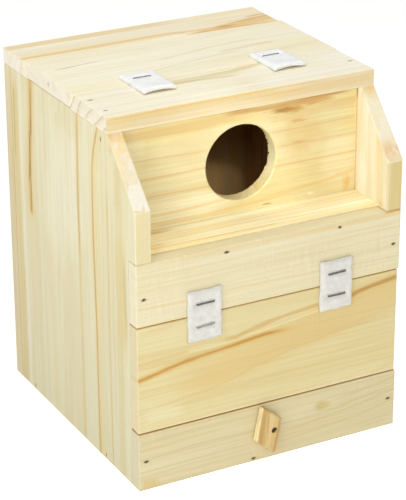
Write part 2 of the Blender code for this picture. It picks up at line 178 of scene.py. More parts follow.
class Board:
    """The pine of one board, sawn from a log: its growth rings, fibres, stained streaks, ends, edges and nail marks.

    grain and across are the axes along the fibres and across the face. heart is where the middle of the tree lies,
    across and through the board, and ring the width of a year's growth, all in mm. slope is how far the grain runs
    across the board for each mm along it. figure, patchy and hairs say how strongly the rings, the broad patches and
    the single dark fibres show.
    """

    def __init__(self, name, node, grain, across, heart, ring, seed, tones, slope=0.0, figure=1.0, patchy=1.0, hairs=0.3):
        self.material, self.tree, self.shader = material_named(name)
        self.node, self.grain, self.seed = node, grain, seed
        through = next(axis for axis in AXES if axis not in (grain, across))
        pale, warm, late = tones
        tree = self.tree
        coordinates = add(tree, "ShaderNodeTexCoord")
        self.place = coordinates.outputs["Object"]
        self.normal = coordinates.outputs["Normal"]
        millimetres = add(tree, "ShaderNodeVectorMath", {0: self.place, "Scale": 1 / MM}, operation="SCALE")
        self.parts = add(tree, "ShaderNodeSeparateXYZ", {"Vector": millimetres}).outputs
        self.along, self.across, self.through = self.parts[grain], self.parts[across], self.parts[through]
        lean = add(tree, "ShaderNodeMath", {0: self.along, 1: -slope, 2: self.across}, operation="MULTIPLY_ADD")
        # The trunk wasn't straight, so its rings wander slowly along the board
        wander = self.pattern(150, 42, detail=2)
        shifts = add(tree, "ShaderNodeSeparateColor", {"Color": wander.outputs["Color"]})
        off_heart = []
        for position, centre, shift in (
            (lean, heart[0], shifts.outputs["Red"]),
            (self.through, heart[1], shifts.outputs["Green"]),
        ):
            moved = add(tree, "ShaderNodeMath", {0: shift, 1: ring * 1.6, 2: position}, operation="MULTIPLY_ADD")
            off_heart.append(add(tree, "ShaderNodeMath", {0: moved, 1: centre + ring * 0.8}, operation="SUBTRACT"))
        flat = add(tree, "ShaderNodeCombineXYZ", {"X": off_heart[0], "Y": off_heart[1]})
        radius = add(tree, "ShaderNodeVectorMath", {0: flat}, operation="LENGTH")
        years = add(tree, "ShaderNodeMath", {0: radius.outputs["Value"], 1: ring}, operation="DIVIDE")
        uneven = add(tree, "ShaderNodeTexNoise", {"W": years, "Scale": 0.7, "Detail": 1.0}, noise_dimensions="1D")
        uneven_years = add(tree, "ShaderNodeMath", {0: uneven.outputs["Fac"], 1: 0.9, 2: years}, operation="MULTIPLY_ADD")
        season = add(tree, "ShaderNodeMath", {0: uneven_years}, operation="FRACT")
        # Pale early wood darkens slowly into a thin line of late wood, and then starts again
        line = add(tree, "ShaderNodeValToRGB", {"Fac": season})
        ramp = line.color_ramp
        ramp.interpolation = "EASE"
        ramp.elements[0].position, ramp.elements[0].color = 0.3, (0, 0, 0, 1)
        ramp.elements[1].position, ramp.elements[1].color = 0.9, (1, 1, 1, 1)
        for position, level in ((0.74, 0.3), (1.0, 0.0)):
            stop = ramp.elements.new(position)
            stop.color = (level, level, level, 1)
        self.rings = line
        broken = self.pattern(110, 9, detail=2, shift=3)
        strength = add(
            tree,
            "ShaderNodeMapRange",
            {"Value": broken, "From Min": 0.38, "From Max": 0.68, "To Min": 0.04 * figure, "To Max": 0.5 * figure},
        )
        late_share = add(tree, "ShaderNodeMath", {0: line, 1: strength}, operation="MULTIPLY")
        patches = self.pattern(170, 20, detail=2, shift=7)
        warm_share = add(
            tree,
            "ShaderNodeMapRange",
            {"Value": patches, "From Min": 0.5 - 0.14 / patchy, "From Max": 0.5 + 0.14 / patchy, "To Max": min(1.0, patchy)},
            interpolation_type="SMOOTHSTEP",
        )
        colour = add(
            tree, "ShaderNodeMix", {"Factor": warm_share, "A": linear(pale), "B": linear(warm)}, data_type="RGBA"
        )
        colour = add(
            tree, "ShaderNodeMix", {"Factor": late_share, "A": colour, "B": linear(late)}, data_type="RGBA"
        )
        # Narrow bands along the grain, 2.6 mm across, where a ring runs nearly flat with the face
        narrow = self.pattern(260, 2.6, detail=2, shift=31)
        band_share = add(
            tree, "ShaderNodeMapRange", {"Value": narrow, "From Min": 0.5, "From Max": 0.7, "To Max": 0.5 * figure}
        )
        colour = add(
            tree, "ShaderNodeMix", {"Factor": band_share, "A": colour, "B": linear(late)}, data_type="RGBA"
        )
        # Single dark fibres, drawn 0.5 mm across so that they show, gathered in a few places
        dark_fibres = self.pattern(22, 0.5, detail=1, shift=23)
        gathered = self.pattern(60, 12, detail=1, shift=29)
        thin = add(tree, "ShaderNodeMapRange", {"Value": dark_fibres, "From Min": 0.58, "From Max": 0.72})
        here = add(tree, "ShaderNodeMapRange", {"Value": gathered, "From Min": 0.42, "From Max": 0.64, "To Max": hairs})
        fibre_share = add(tree, "ShaderNodeMath", {0: thin, 1: here}, operation="MULTIPLY")
        self.colour = add(
            tree, "ShaderNodeMix", {"Factor": fibre_share, "A": colour, "B": linear("#BFA568")}, data_type="RGBA"
        )
        # Bundles of fibres, about 1.3 mm across, and single ones, drawn 0.35 mm across so that they show
        self.bundles = self.pattern(75, 1.3, detail=4, shift=11)
        self.fibres = self.pattern(16, 0.35, detail=3, shift=13)

    def pattern(self, length, thickness, detail, shift=0, roughness=0.55):
        """Noise drawn out along the grain: length along it and thickness across it, in mm."""
        scale = [1 / (MM * (length if axis == self.grain else thickness)) for axis in AXES]
        offset = [self.seed * 5.1 + shift, self.seed * 3.7, shift * 1.9]
        turned = add(self.tree, "ShaderNodeMapping", {"Vector": self.place, "Scale": scale, "Location": offset})
        return add(
            self.tree,
            "ShaderNodeTexNoise",
            {"Vector": turned, "Scale": 1.0, "Detail": float(detail), "Roughness": roughness},
        )

    def stain(self, share, tint):
        """Tints the wood by a share, broken up along the bundles of fibres."""
        tree = self.tree
        grainy = add(
            tree, "ShaderNodeMapRange", {"Value": self.bundles, "From Min": 0.3, "From Max": 0.6, "To Min": 0.62}
        )
        broken = add(tree, "ShaderNodeMath", {0: share, 1: grainy}, operation="MULTIPLY")
        self.colour = add(
            tree, "ShaderNodeMix", {"Factor": broken, "A": self.colour, "B": linear(tint)}, data_type="RGBA"
        )
        return self

    def streak(self, route, width, tint, strength, fade=12, feather=1.0, on_edge=False):
        """A stained streak along a route of places (along, across), to width on either side of it, in mm.

        One that shows on the edge of the board has a route of places (along, through).
        """
        tree = self.tree
        position = self.through if on_edge else self.across
        start, end = route[0][0], route[-1][0]
        low = min(across for _, across in route) - 1
        high = max(across for _, across in route) + 1
        share = add(tree, "ShaderNodeMapRange", {"Value": self.along, "From Min": start, "From Max": end})
        bend = add(tree, "ShaderNodeFloatCurve", {"Value": share})
        points = bend.mapping.curves[0].points
        places = [((along - start) / (end - start), (across - low) / (high - low)) for along, across in route]
        points[0].location, points[-1].location = places[0], places[-1]
        for place in places[1:-1]:
            points.new(*place)
        bend.mapping.update()
        centre = add(tree, "ShaderNodeMapRange", {"Value": bend, "To Min": low, "To Max": high})
        ragged = self.pattern(35, 2.5, detail=3, shift=17)
        loose = add(
            tree, "ShaderNodeMath", {0: ragged, 1: feather * width * 2, 2: position}, operation="MULTIPLY_ADD"
        )
        off_line = add(tree, "ShaderNodeMath", {0: loose, 1: centre}, operation="SUBTRACT")
        level = add(tree, "ShaderNodeMath", {0: off_line, 1: feather * width}, operation="SUBTRACT")
        away = add(tree, "ShaderNodeMath", {0: level}, operation="ABSOLUTE")
        near = add(
            tree,
            "ShaderNodeMapRange",
            {"Value": away, "From Min": width, "From Max": width * 0.3, "To Max": strength},
            interpolation_type="SMOOTHSTEP",
        )
        for edge, inner in ((min(start, end) - fade, min(start, end)), (max(start, end) + fade, max(start, end))):
            near = add(
                tree,
                "ShaderNodeMapRange",
                {"Value": self.along, "From Min": edge, "From Max": inner, "To Max": near},
                interpolation_type="SMOOTHSTEP",
            )
        return self.stain(near, tint)

    def blot(self, middle, reach, tint, strength, ragged=0.7):
        """A stained patch round a place (along, across), to reach (along, across) on either side of it, in mm."""
        tree = self.tree
        mottled = self.pattern(reach[0] * 0.8, reach[1] * 0.8, detail=4, shift=37)
        offs = []
        for position, centre, half in zip((self.along, self.across), middle, reach):
            off = add(tree, "ShaderNodeMath", {0: position, 1: centre}, operation="SUBTRACT")
            offs.append(add(tree, "ShaderNodeMath", {0: off, 1: half}, operation="DIVIDE"))
        flat = add(tree, "ShaderNodeCombineXYZ", {"X": offs[0], "Y": offs[1]})
        away = add(tree, "ShaderNodeVectorMath", {0: flat}, operation="LENGTH").outputs["Value"]
        loose = add(tree, "ShaderNodeMath", {0: mottled, 1: ragged * 2, 2: away}, operation="MULTIPLY_ADD")
        share = add(
            tree,
            "ShaderNodeMapRange",
            {"Value": loose, "From Min": 1.0 + ragged, "From Max": 0.3 + ragged, "To Max": strength},
            interpolation_type="SMOOTHSTEP",
        )
        return self.stain(share, tint)

    def knot(self, middle, reach, tint, strength):
        """A grown-over knot: fine oval rings round a place (along, across), out to reach, in mm."""
        tree = self.tree
        offs = []
        for position, centre, stretch in zip((self.along, self.across), middle, (1.5, 1.0)):
            off = add(tree, "ShaderNodeMath", {0: position, 1: centre}, operation="SUBTRACT")
            offs.append(add(tree, "ShaderNodeMath", {0: off, 1: stretch}, operation="DIVIDE"))
        flat = add(tree, "ShaderNodeCombineXYZ", {"X": offs[0], "Y": offs[1]})
        away = add(tree, "ShaderNodeVectorMath", {0: flat}, operation="LENGTH").outputs["Value"]
        uneven = add(tree, "ShaderNodeMath", {0: self.bundles, 1: 1.2, 2: away}, operation="MULTIPLY_ADD")
        wave = add(tree, "ShaderNodeMath", {0: uneven, 1: math.tau / 1.7}, operation="MULTIPLY")
        ridges = add(tree, "ShaderNodeMath", {0: wave}, operation="SINE")
        share = add(
            tree, "ShaderNodeMapRange", {"Value": away, "From Min": reach, "From Max": reach * 0.3, "To Max": strength}
        )
        level = add(tree, "ShaderNodeMapRange", {"Value": ridges, "From Min": -0.6, "To Min": 0.25})
        return self.stain(add(tree, "ShaderNodeMath", {0: share, 1: level}, operation="MULTIPLY"), tint)

    def shade(self, start, end, factor):
        """Painted shade: the colour darkens steadily from one place along the grain to another, to factor of its
        brightness, where less light falls.
        """
        tree = self.tree
        share = add(
            tree, "ShaderNodeMapRange", {"Value": self.along, "From Min": start, "From Max": end, "To Min": 1.0, "To Max": factor}
        )
        self.colour = add(tree, "ShaderNodeVectorMath", {0: self.colour, "Scale": share}, operation="SCALE")
        return self

    def inside(self, position, outer, inner, tint="#D29A50"):
        """A face inside the box, drawn browner: painted shade for the dim, warm light inside the box.

        It ends at the entrance panel, and below that panel at the front boards.
        """
        tree = self.tree
        share = add(tree, "ShaderNodeMapRange", {"Value": position, "From Min": outer, "From Max": inner})
        behind = add(tree, "ShaderNodeMapRange", {"Value": self.parts["Y"], "From Min": -43.0, "From Max": -42.0})
        below = add(tree, "ShaderNodeMapRange", {"Value": self.parts["Z"], "From Min": 141.0, "From Max": 139.0})
        indoors = add(tree, "ShaderNodeMath", {0: behind, 1: below}, operation="MAXIMUM")
        return self.stain(add(tree, "ShaderNodeMath", {0: share, 1: indoors}, operation="MULTIPLY"), tint)

    def sawn_slant(self, light, tan, stains):
        """The slanted end of a wing: facets from the saw in two tones, and stains (tint, share, from, to a height)."""
        tree = self.tree
        parts = add(tree, "ShaderNodeSeparateXYZ", {"Vector": self.normal}).outputs
        upward = add(tree, "ShaderNodeMapRange", {"Value": parts["Z"], "From Min": 0.2, "From Max": 0.4})
        forward = add(tree, "ShaderNodeMapRange", {"Value": parts["Y"], "From Min": -0.4, "From Max": -0.6})
        on_slant = add(tree, "ShaderNodeMath", {0: upward, 1: forward}, operation="MULTIPLY")
        scale = (1 / (8 * MM), 1 / (9 * MM), 1 / (9 * MM))
        turned = add(tree, "ShaderNodeMapping", {"Vector": self.place, "Scale": scale, "Rotation": (0.5, 0.3, 0.4)})
        facets = add(tree, "ShaderNodeTexVoronoi", {"Vector": turned, "Scale": 1.0}).outputs["Color"]
        one = add(tree, "ShaderNodeSeparateColor", {"Color": facets}).outputs["Red"]
        share = add(tree, "ShaderNodeMapRange", {"Value": one, "From Min": 0.35, "From Max": 0.9})
        colour = add(tree, "ShaderNodeMix", {"Factor": share, "A": linear(light), "B": linear(tan)}, data_type="RGBA")
        mottled = add(tree, "ShaderNodeTexNoise", {"Vector": self.place, "Scale": 1 / (5 * MM), "Detail": 3.0})
        for tint, strength, low, high in stains:
            blotches = add(
                tree,
                "ShaderNodeMapRange",
                {"Value": mottled.outputs["Fac"], "From Min": 0.35, "From Max": 0.6, "To Min": 0.2, "To Max": strength},
            )
            near = add(
                tree, "ShaderNodeMapRange", {"Value": self.parts["Z"], "From Min": low, "From Max": high, "To Max": blotches}
            )
            colour = add(tree, "ShaderNodeMix", {"Factor": near, "A": colour, "B": linear(tint)}, data_type="RGBA")
        self.colour = add(tree, "ShaderNodeMix", {"Factor": on_slant, "A": self.colour, "B": colour}, data_type="RGBA")
        return self

    def finish(
        self, nails=(), body="house", end_grain=END_GRAIN, end_rings=0.6, planer=0.0, roughness=0.6, shape=None,
        end_spots=(), hole=1.0, nail_stain=NAIL_STAIN,
    ):
        """Fibres, end grain, sanded edges, nail marks, roughness and relief; then the board is made of this pine."""
        tree = self.tree
        tone = add(
            tree,
            "ShaderNodeMapRange",
            {"Value": self.bundles, "From Min": 0.3, "From Max": 0.7, "To Min": 0.945, "To Max": 1.025},
        )
        fine = add(
            tree,
            "ShaderNodeMapRange",
            {"Value": self.fibres, "From Min": 0.25, "From Max": 0.75, "To Min": 0.96, "To Max": 1.03},
        )
        both = add(tree, "ShaderNodeMath", {0: tone, 1: fine}, operation="MULTIPLY")
        colour = add(tree, "ShaderNodeVectorMath", {0: self.colour, "Scale": both}, operation="SCALE")
        # The planer's knives left marks across the grain, about 1.6 mm apart, in a few places
        if planer:
            knives = self.pattern(1.6, 16, detail=1, shift=43)
            where = self.pattern(24, 24, detail=1, shift=41)
            marks = add(tree, "ShaderNodeMapRange", {"Value": knives, "From Min": 0.3, "From Max": 0.7, "To Min": -1.0})
            deep = add(
                tree, "ShaderNodeMapRange", {"Value": where, "From Min": 0.42, "From Max": 0.64, "To Max": planer}
            )
            tone = add(tree, "ShaderNodeMath", {0: marks, 1: deep, 2: 1.0}, operation="MULTIPLY_ADD")
            colour = add(tree, "ShaderNodeVectorMath", {0: colour, "Scale": tone}, operation="SCALE")
        # Resin canals: short dark dashes along the grain
        canals = self.pattern(2.6, 0.3, detail=0, shift=19)
        dash = add(tree, "ShaderNodeMapRange", {"Value": canals, "From Min": 0.74, "From Max": 0.82, "To Max": 0.35})
        colour = add(tree, "ShaderNodeMix", {"Factor": dash, "A": colour, "B": linear(RESIN)}, data_type="RGBA")
        # Where the fibres end at a cut, the wood is paler and greyer, with open pores and the lines of the saw
        facing = add(tree, "ShaderNodeSeparateXYZ", {"Vector": self.normal}).outputs[self.grain]
        square_on = add(tree, "ShaderNodeMath", {0: facing}, operation="ABSOLUTE")
        end_share = add(
            tree,
            "ShaderNodeMapRange",
            {"Value": square_on, "From Min": 0.75, "From Max": 0.95, "To Max": 0.8},
            interpolation_type="SMOOTHSTEP",
        )
        colour = add(tree, "ShaderNodeMix", {"Factor": end_share, "A": colour, "B": linear(end_grain)}, data_type="RGBA")
        slanted = add(tree, "ShaderNodeMath", {0: self.across, 1: self.through}, operation="SUBTRACT")
        strokes = add(tree, "ShaderNodeMath", {0: slanted, 1: math.tau / 1.9}, operation="MULTIPLY")
        cuts = add(tree, "ShaderNodeMath", {0: strokes}, operation="SINE")
        cut_where = add(
            tree, "ShaderNodeTexNoise", {"Vector": self.place, "Scale": 1 / (9 * MM), "Detail": 2.0}
        )
        cut_level = add(tree, "ShaderNodeMapRange", {"Value": cut_where.outputs["Fac"], "From Min": 0.45, "From Max": 0.7})
        cut_share = add(tree, "ShaderNodeMapRange", {"Value": cuts, "From Min": 0.1, "To Max": cut_level})
        pores = add(tree, "ShaderNodeTexNoise", {"Vector": self.place, "Scale": 1 / (0.7 * MM), "Detail": 3.0})
        pore_share = add(
            tree, "ShaderNodeMapRange", {"Value": pores.outputs["Fac"], "From Min": 0.5, "From Max": 0.75, "To Max": 0.35}
        )
        ring_share = add(tree, "ShaderNodeMath", {0: self.rings, 1: end_rings, 2: pore_share}, operation="MULTIPLY_ADD")
        mark_share = add(tree, "ShaderNodeMath", {0: cut_share, 1: 0.3, 2: ring_share}, operation="MULTIPLY_ADD")
        marked = add(
            tree, "ShaderNodeMath", {0: end_share, 1: mark_share}, operation="MULTIPLY", use_clamp=True
        )
        colour = add(tree, "ShaderNodeMix", {"Factor": marked, "A": colour, "B": linear(END_MARKS)}, data_type="RGBA")
        for (spot_across, spot_through), reach, tint, strength in end_spots:
            one = add(tree, "ShaderNodeMath", {0: self.across, 1: spot_across}, operation="SUBTRACT")
            other = add(tree, "ShaderNodeMath", {0: self.through, 1: spot_through}, operation="SUBTRACT")
            flat = add(tree, "ShaderNodeCombineXYZ", {"X": one, "Y": other})
            away = add(tree, "ShaderNodeVectorMath", {0: flat}, operation="LENGTH").outputs["Value"]
            loose = add(tree, "ShaderNodeMath", {0: cut_where, 1: reach * 1.4, 2: away}, operation="MULTIPLY_ADD")
            near = add(
                tree,
                "ShaderNodeMapRange",
                {"Value": loose, "From Min": reach * 1.7, "From Max": reach * 0.9, "To Max": strength},
            )
            share = add(tree, "ShaderNodeMath", {0: near, 1: end_share}, operation="MULTIPLY")
            colour = add(tree, "ShaderNodeMix", {"Factor": share, "A": colour, "B": linear(tint)}, data_type="RGBA")
        # Edges that sandpaper and hands have rubbed: the distance to the nearest edge is the middle one of the
        # distances to the three nearest faces
        low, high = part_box(self.node)
        middle, half = (low + high) / 2, (high - low) / 2
        off_middle = add(tree, "ShaderNodeVectorMath", {0: self.place, 1: middle}, operation="SUBTRACT")
        folded = add(tree, "ShaderNodeVectorMath", {0: off_middle}, operation="ABSOLUTE")
        inside = add(tree, "ShaderNodeVectorMath", {0: half, 1: folded}, operation="SUBTRACT")
        faces = add(tree, "ShaderNodeSeparateXYZ", {"Vector": inside}).outputs
        lesser = add(tree, "ShaderNodeMath", {0: faces["X"], 1: faces["Y"]}, operation="MINIMUM")
        greater = add(tree, "ShaderNodeMath", {0: faces["X"], 1: faces["Y"]}, operation="MAXIMUM")
        second = add(tree, "ShaderNodeMath", {0: greater, 1: faces["Z"]}, operation="MINIMUM")
        to_edge = add(tree, "ShaderNodeMath", {0: lesser, 1: second}, operation="MAXIMUM")
        rubbed_at = add(tree, "ShaderNodeMath", {0: self.bundles, 1: 1.6 * MM, 2: to_edge}, operation="MULTIPLY_ADD")
        rubbed = add(
            tree,
            "ShaderNodeMapRange",
            {"Value": rubbed_at, "From Min": 1.7 * MM, "From Max": 0.7 * MM, "To Max": 0.3},
            interpolation_type="SMOOTHSTEP",
        )
        colour = add(tree, "ShaderNodeMix", {"Factor": rubbed, "A": colour, "B": linear(WORN)}, data_type="RGBA")
        # Crushed, stained fibres round each nail
        for nail in nails:
            off_nail = add(tree, "ShaderNodeVectorMath", {0: self.place, 1: head_of(nail)[0]}, operation="SUBTRACT")
            drawn = [0.6 if axis == self.grain else 1.1 for axis in AXES]
            off_nail = add(tree, "ShaderNodeVectorMath", {0: off_nail, 1: drawn}, operation="MULTIPLY")
            distance = add(tree, "ShaderNodeVectorMath", {0: off_nail}, operation="LENGTH")
            reach = add(
                tree,
                "ShaderNodeMath",
                {0: self.bundles, 1: 1.2 * MM, 2: distance.outputs["Value"]},
                operation="MULTIPLY_ADD",
            )
            stain = add(
                tree,
                "ShaderNodeMapRange",
                {"Value": reach, "From Min": 2.1 * MM, "From Max": 1.3 * MM, "To Max": 0.75},
                interpolation_type="SMOOTHSTEP",
            )
            colour = add(
                tree, "ShaderNodeMix", {"Factor": stain, "A": colour, "B": linear(nail_stain)}, data_type="RGBA"
            )
        tree.links.new(next(output for output in colour.outputs if output.enabled), self.shader.inputs["Base Color"])
        # Planed pine: roughness varies with the fibres
        rough = add(
            tree,
            "ShaderNodeMapRange",
            {"Value": self.fibres, "From Min": 0.3, "From Max": 0.7, "To Min": roughness - 0.06, "To Max": roughness + 0.08},
        )
        tree.links.new(rough.outputs["Result"], self.shader.inputs["Roughness"])
        # Late wood stands a few hundredths of a mm above the early wood after planing, and fibres stand out of it
        raised = add(tree, "ShaderNodeMath", {0: self.rings, 1: 0.35, 2: self.bundles}, operation="MULTIPLY_ADD")
        relief = add(tree, "ShaderNodeMath", {0: self.fibres, 1: 0.6, 2: raised}, operation="MULTIPLY_ADD")
        bump = add(tree, "ShaderNodeBump", {"Height": relief, "Strength": 0.5, "Distance": 0.12 * MM})
        tree.links.new(bump.outputs["Normal"], self.shader.inputs["Normal"])
        return planed(self.node, body, self.material, nails, shape, hole)


side_left = Board(
    "planed_pine_side_left", "side_left", "Z", "Y", (-420, -200), 21, 1, ("#E3DDBA", "#E0D6AD", "#D2BD80"), figure=0.6,
    patchy=0.8, hairs=0.12,
)
side_left.blot((160, 8), (60, 40), "#EDE8CF", 0.6)
LINE_B = [
    (213, -40.8), (204, -37.5), (193, -34.2), (176, -32.5), (142, -32.5), (109, -33.3), (76, -34.2), (49, -34.2),
    (0, -35),
]
side_left.streak([(z, y - 2.5) for z, y in LINE_B], 7.5, "#E2D29C", 0.9, feather=0.3)
side_left.streak(LINE_B, 1.5, "#C9A050", 0.9, feather=0.4)
side_left.streak([(213, -13.8), (176, -12.8), (134, -12.5), (90, -12.8), (0, -13.3)], 3.4, "#DCC88C", 0.9, fade=40, feather=0.3)
side_left.streak([(200, -13.4), (176, -12.6), (140, -12.3)], 1.3, "#CBA055", 0.85, fade=24, feather=0.5)
side_left.streak([(168, -52), (100, -52), (0, -52.5)], 1.3, "#D3C18A", 0.8, fade=20)
side_left.streak([(150, -58), (60, -58.5)], 1.1, "#CFBF8C", 0.5, fade=30)
side_left.streak([(196, -66), (179, -66)], 5.5, "#D8C794", 0.7, feather=0.6)
side_left.streak([(140, -68), (120, -69), (98, -69)], 9, "#DCC98D", 0.9, fade=25, feather=0.5)
side_left.streak([(134, -73), (105, -74)], 2.5, "#C4B47A", 0.5, fade=15, feather=0.8)
RESIN_ROUTE = [(216, 52.6), (200, 53.6), (176, 55.8), (151, 58.2), (128, 58.0)]
side_left.streak(RESIN_ROUTE, 7.5, "#E3CB8C", 0.95, fade=8, feather=0.2)
side_left.streak(RESIN_ROUTE, 3.2, "#CFA85E", 0.95, fade=3, feather=0.5)
side_left.streak([(206, 53.2), (196, 53.6), (171, 56.2), (149, 59.2)], 1.0, "#93702F", 0.85, fade=4, feather=2.2)
side_left.streak([(176, 57.2), (150, 56.8), (128, 57.4)], 1.3, "#9C8648", 0.8, fade=6, feather=1.2)
side_left.streak([(196, 78), (160, 78.5), (60, 77), (0, 78)], 8, "#D8C589", 0.9, fade=20, feather=0.3)
side_left.streak([(190, -66), (100, -66.5), (0, -66)], 6, "#D8C98F", 0.55, feather=0.4)
side_left.streak([(196, 79.2), (163, 80)], 1.4, "#BFA45A", 0.8, fade=10, feather=0.6)
side_left.streak([(216, 70), (160, 70), (0, 69)], 3.5, "#EDE6D0", 0.7, feather=0.5)
side_left.streak([(100, 30), (0, 30)], 4, "#E3D6A8", 0.6, fade=40)
side_left.streak([(176, FRONT_FACE - 0.5), (100, FRONT_FACE - 0.5)], 1.6, "#DFCFA0", 1.0, fade=2, feather=0.0)
side_left.blot((206, -58), (7, 3.5), "#DDC08C", 0.6)
# Painted shade: the side is drawn darker towards the bottom, where less light reaches it
side_left.shade(190, 10, 0.83)
# Painted shade: the inner face is drawn browner, for the dim light in the box
side_left.inside(side_left.through, -80.2, -79.6)
side_left.sawn_slant("#E9E3D0", "#E2D2A8", [("#EDD296", 0.8, 188, 206), ("#DDAE6A", 0.7, 209, 214)])


def hand_fitted(thicker):
    """The wing was left a little thicker in front, and the cuts above and behind the front boards meet them."""

    def shape(bm):
        for vert in bm.verts:
            in_front = vert.co.y < -77.5 * MM
            if in_front and vert.co.z > 146 * MM and abs(vert.co.x) < 84 * MM:
                vert.co.x += math.copysign(thicker, -vert.co.x)
            if in_front and 146 * MM < vert.co.z < 147.2 * MM:
                vert.co.z -= 0.25 * MM
            if in_front and vert.co.z < 146.4 * MM and vert.co.y > -79 * MM:
                vert.co.y -= 0.2 * MM

    return shape


side_left.finish(
    ["nail_panel_left", "nail_floor_left_front", "nail_floor_left_rear"], end_rings=0.2, shape=hand_fitted(0.6 * MM),
    hole=0.6, nail_stain=FAINT_STAIN,
)

side_right = Board(
    "planed_pine_side_right", "side_right", "Z", "Y", (380, 150), 16, 2, ("#F8F5DE", "#F1E8C8", "#DFCD9C"), figure=0.5,
)
side_right.streak([(216, 20), (120, 24), (0, 21)], 1.3, "#D2AE62", 0.7)
side_right.streak([(216, -4), (140, -2), (0, -7)], 1.0, "#D2AE62", 0.6)
side_right.streak([(216, -50.6), (140, -50.6)], 1.1, "#EAB75C", 1.0, feather=0.2)
side_right.streak([(216, -50.4), (209, -50.4)], 1.1, "#9A6426", 0.9, fade=4, feather=0.2)
side_right.blot((148, -79.5), (2.5, 2.5), "#EBC064", 0.8)
side_right.blot((211, -60), (5, 7), "#EFC766", 0.8)
side_right.streak([(205, -78), (180, -78), (148, -79)], 7, "#EBD08C", 0.5, feather=0.3)
side_right.blot((158, -56), (22, 8), "#FFFDF0", 0.8)
side_right.streak([(176, FRONT_FACE - 0.5), (100, FRONT_FACE - 0.5)], 1.6, "#D3BC7A", 1.0, fade=2, feather=0.0)
# Painted shade: the inner face is drawn browner, for the dim light in the box
side_right.inside(side_right.through, 80.2, 79.6)
side_right.sawn_slant("#EFE7CB", "#ECE1BE", [("#E2BC84", 0.8, 190, 184), ("#E9C473", 0.9, 207, 213)])
side_right.finish(
    ["nail_panel_right", "nail_floor_right_front", "nail_floor_right_rear"], end_rings=0.2, shape=hand_fitted(1.1 * MM),
    hole=0.6, nail_stain=FAINT_STAIN,
)

# Back panel: one pine board with upright grain, laid over the rear edges of the sides and the floor and nailed.
# Its inside is drawn a browner colour, as painted shade for the dim light in the box.

back = Board(
    "planed_pine_back", "back_panel", "Z", "X", (-60, 320), 13, 3, ("#DED2AC", "#D8C795", "#C9AD70"), figure=0.8, patchy=0.8
)
back.streak([(216, -30), (140, -27), (60, -31), (0, -30)], 1.6, "#D2AE62", 0.7)
back.streak([(216, 48), (150, 46), (0, 52)], 1.2, "#D2AE62", 0.6)
# Painted shade: the back is drawn darker towards the bottom, where less light reaches it
back.shade(200, 60, 0.85)
# Painted shade: the inner face is drawn browner, for the dim light in the box
back.inside(back.through, 84.3, 83.8, tint="#D0A45F")
back.finish(
    [f"nail_back_{side}_{place}" for side in ("left", "right") for place in ("low", "middle", "high")]
    + ["nail_back_floor"]
)

# Floor: a pine board between the sides, nailed through them and through the lower front board.

Board("planed_pine_floor", "floor_board", "X", "Y", (40, -90), 9, 4, ("#EBD9AE", "#E0C48C", "#CDAA68")).finish()

# Porch ledge: the perch in front of the entrance, a pine board with close, straight grain, nailed through the
# upper front board. The entrance panel stands on it.

ledge = Board(
    "planed_pine_ledge", "porch_ledge", "X", "Y", (-300, 40), 4.5, 5, ("#FFFBDC", "#FBEFC2", "#E8C684"), figure=1.2
)
ledge.streak([(-70, -76), (90, -76)], 3.0, "#F6DE96", 0.75, fade=20, feather=0.4)
ledge.streak([(-82, -52), (-60, -53)], 4.0, "#E0B25C", 0.8, fade=20)
ledge.blot((-74, -70), (16, 7), "#DDB468", 0.6)
ledge.streak([(-82, -72), (-60, -73), (0, -74)], 1.2, "#E0B25C", 0.7, fade=20)


def tight_ends(bm):
    """Both ends press against the sides, and leave no gap."""
    for vert in bm.verts:
        if abs(vert.co.x) > 78.5 * MM:
            vert.co.x += math.copysign(0.7 * MM, vert.co.x)


ledge.finish(shape=tight_ends)

# Front boards: two planed pine boards nailed over the front edges of the sides, pale and with fine straight grain.
# The lower one has a small grown-over knot, and its grain swings round it.



def snug_foot(bm):
    """The lower arris was left long, and the joint above the door is a fine line."""
    for vert in bm.verts:
        if vert.co.z < 108 * MM:
            vert.co.z -= 0.2 * MM


upper = Board(
    "planed_pine_front_upper", "front_board_upper", "X", "Z", (-160, 60), 8, 6, ("#E1D8B5", "#DDD0A5", "#CFB67C"), figure=0.4,
    patchy=0.6, hairs=0.12,
)
upper.streak([(-92, 118.5), (-60, 117.6)], 1.2, "#DCC692", 0.7)
upper.streak([(-30, 118.5), (90, 115.5)], 0.9, "#D8C292", 0.6)
upper.streak([(-92, 106.6), (92, 106.6)], 0.8, "#D9B868", 1.0, fade=2, feather=0.1)
upper.streak([(-40, 144.2), (92, 143.6)], 2.6, "#D9BC7A", 0.55, fade=40, feather=0.5)
upper.streak([(79, 145.4), (92, 145.4)], 1.0, "#CF983F", 1.0, fade=2, feather=0.1)
upper.finish(
    ["nail_ledge_1", "nail_ledge_2", "nail_upper_left", "nail_upper_right"], end_rings=0.1, planer=0.03,
    end_grain="#E2DBBD", shape=snug_foot,
)
# Partly painted shade: the lower board's tones are darker than the upper one's for the light that falls off towards the
# bottom, and partly its own colour
lower = Board(
    "planed_pine_front_lower", "front_board_lower", "X", "Z", (-120, 90), 7, 7, ("#D8CDA6", "#D1C396", "#BEA66E"), figure=0.6,
    patchy=0.7, hairs=0.4,
)
lower.streak([(20, 16), (50, 19), (90, 25)], 1.2, "#C9B67E", 0.6)
lower.streak([(50, 28), (90, 33)], 1.4, "#C9B67E", 0.6)
lower.streak([(10, 9), (50, 12), (90, 18)], 1.1, "#C9B67E", 0.5)
lower.streak([(46, 22), (90, 28)], 0.9, "#BFAC74", 0.5)
lower.streak([(-89, 27), (-40, 28)], 1.0, "#C9B67E", 0.5)
lower.streak([(-92, 37.8), (92, 37.8)], 0.8, "#C9A45E", 1.0, fade=2, feather=0.1)
lower.blot((-82, 3), (9, 5), "#D3AE62", 0.6)
lower.blot((36, 26), (7, 4.5), "#C7B57A", 0.8)
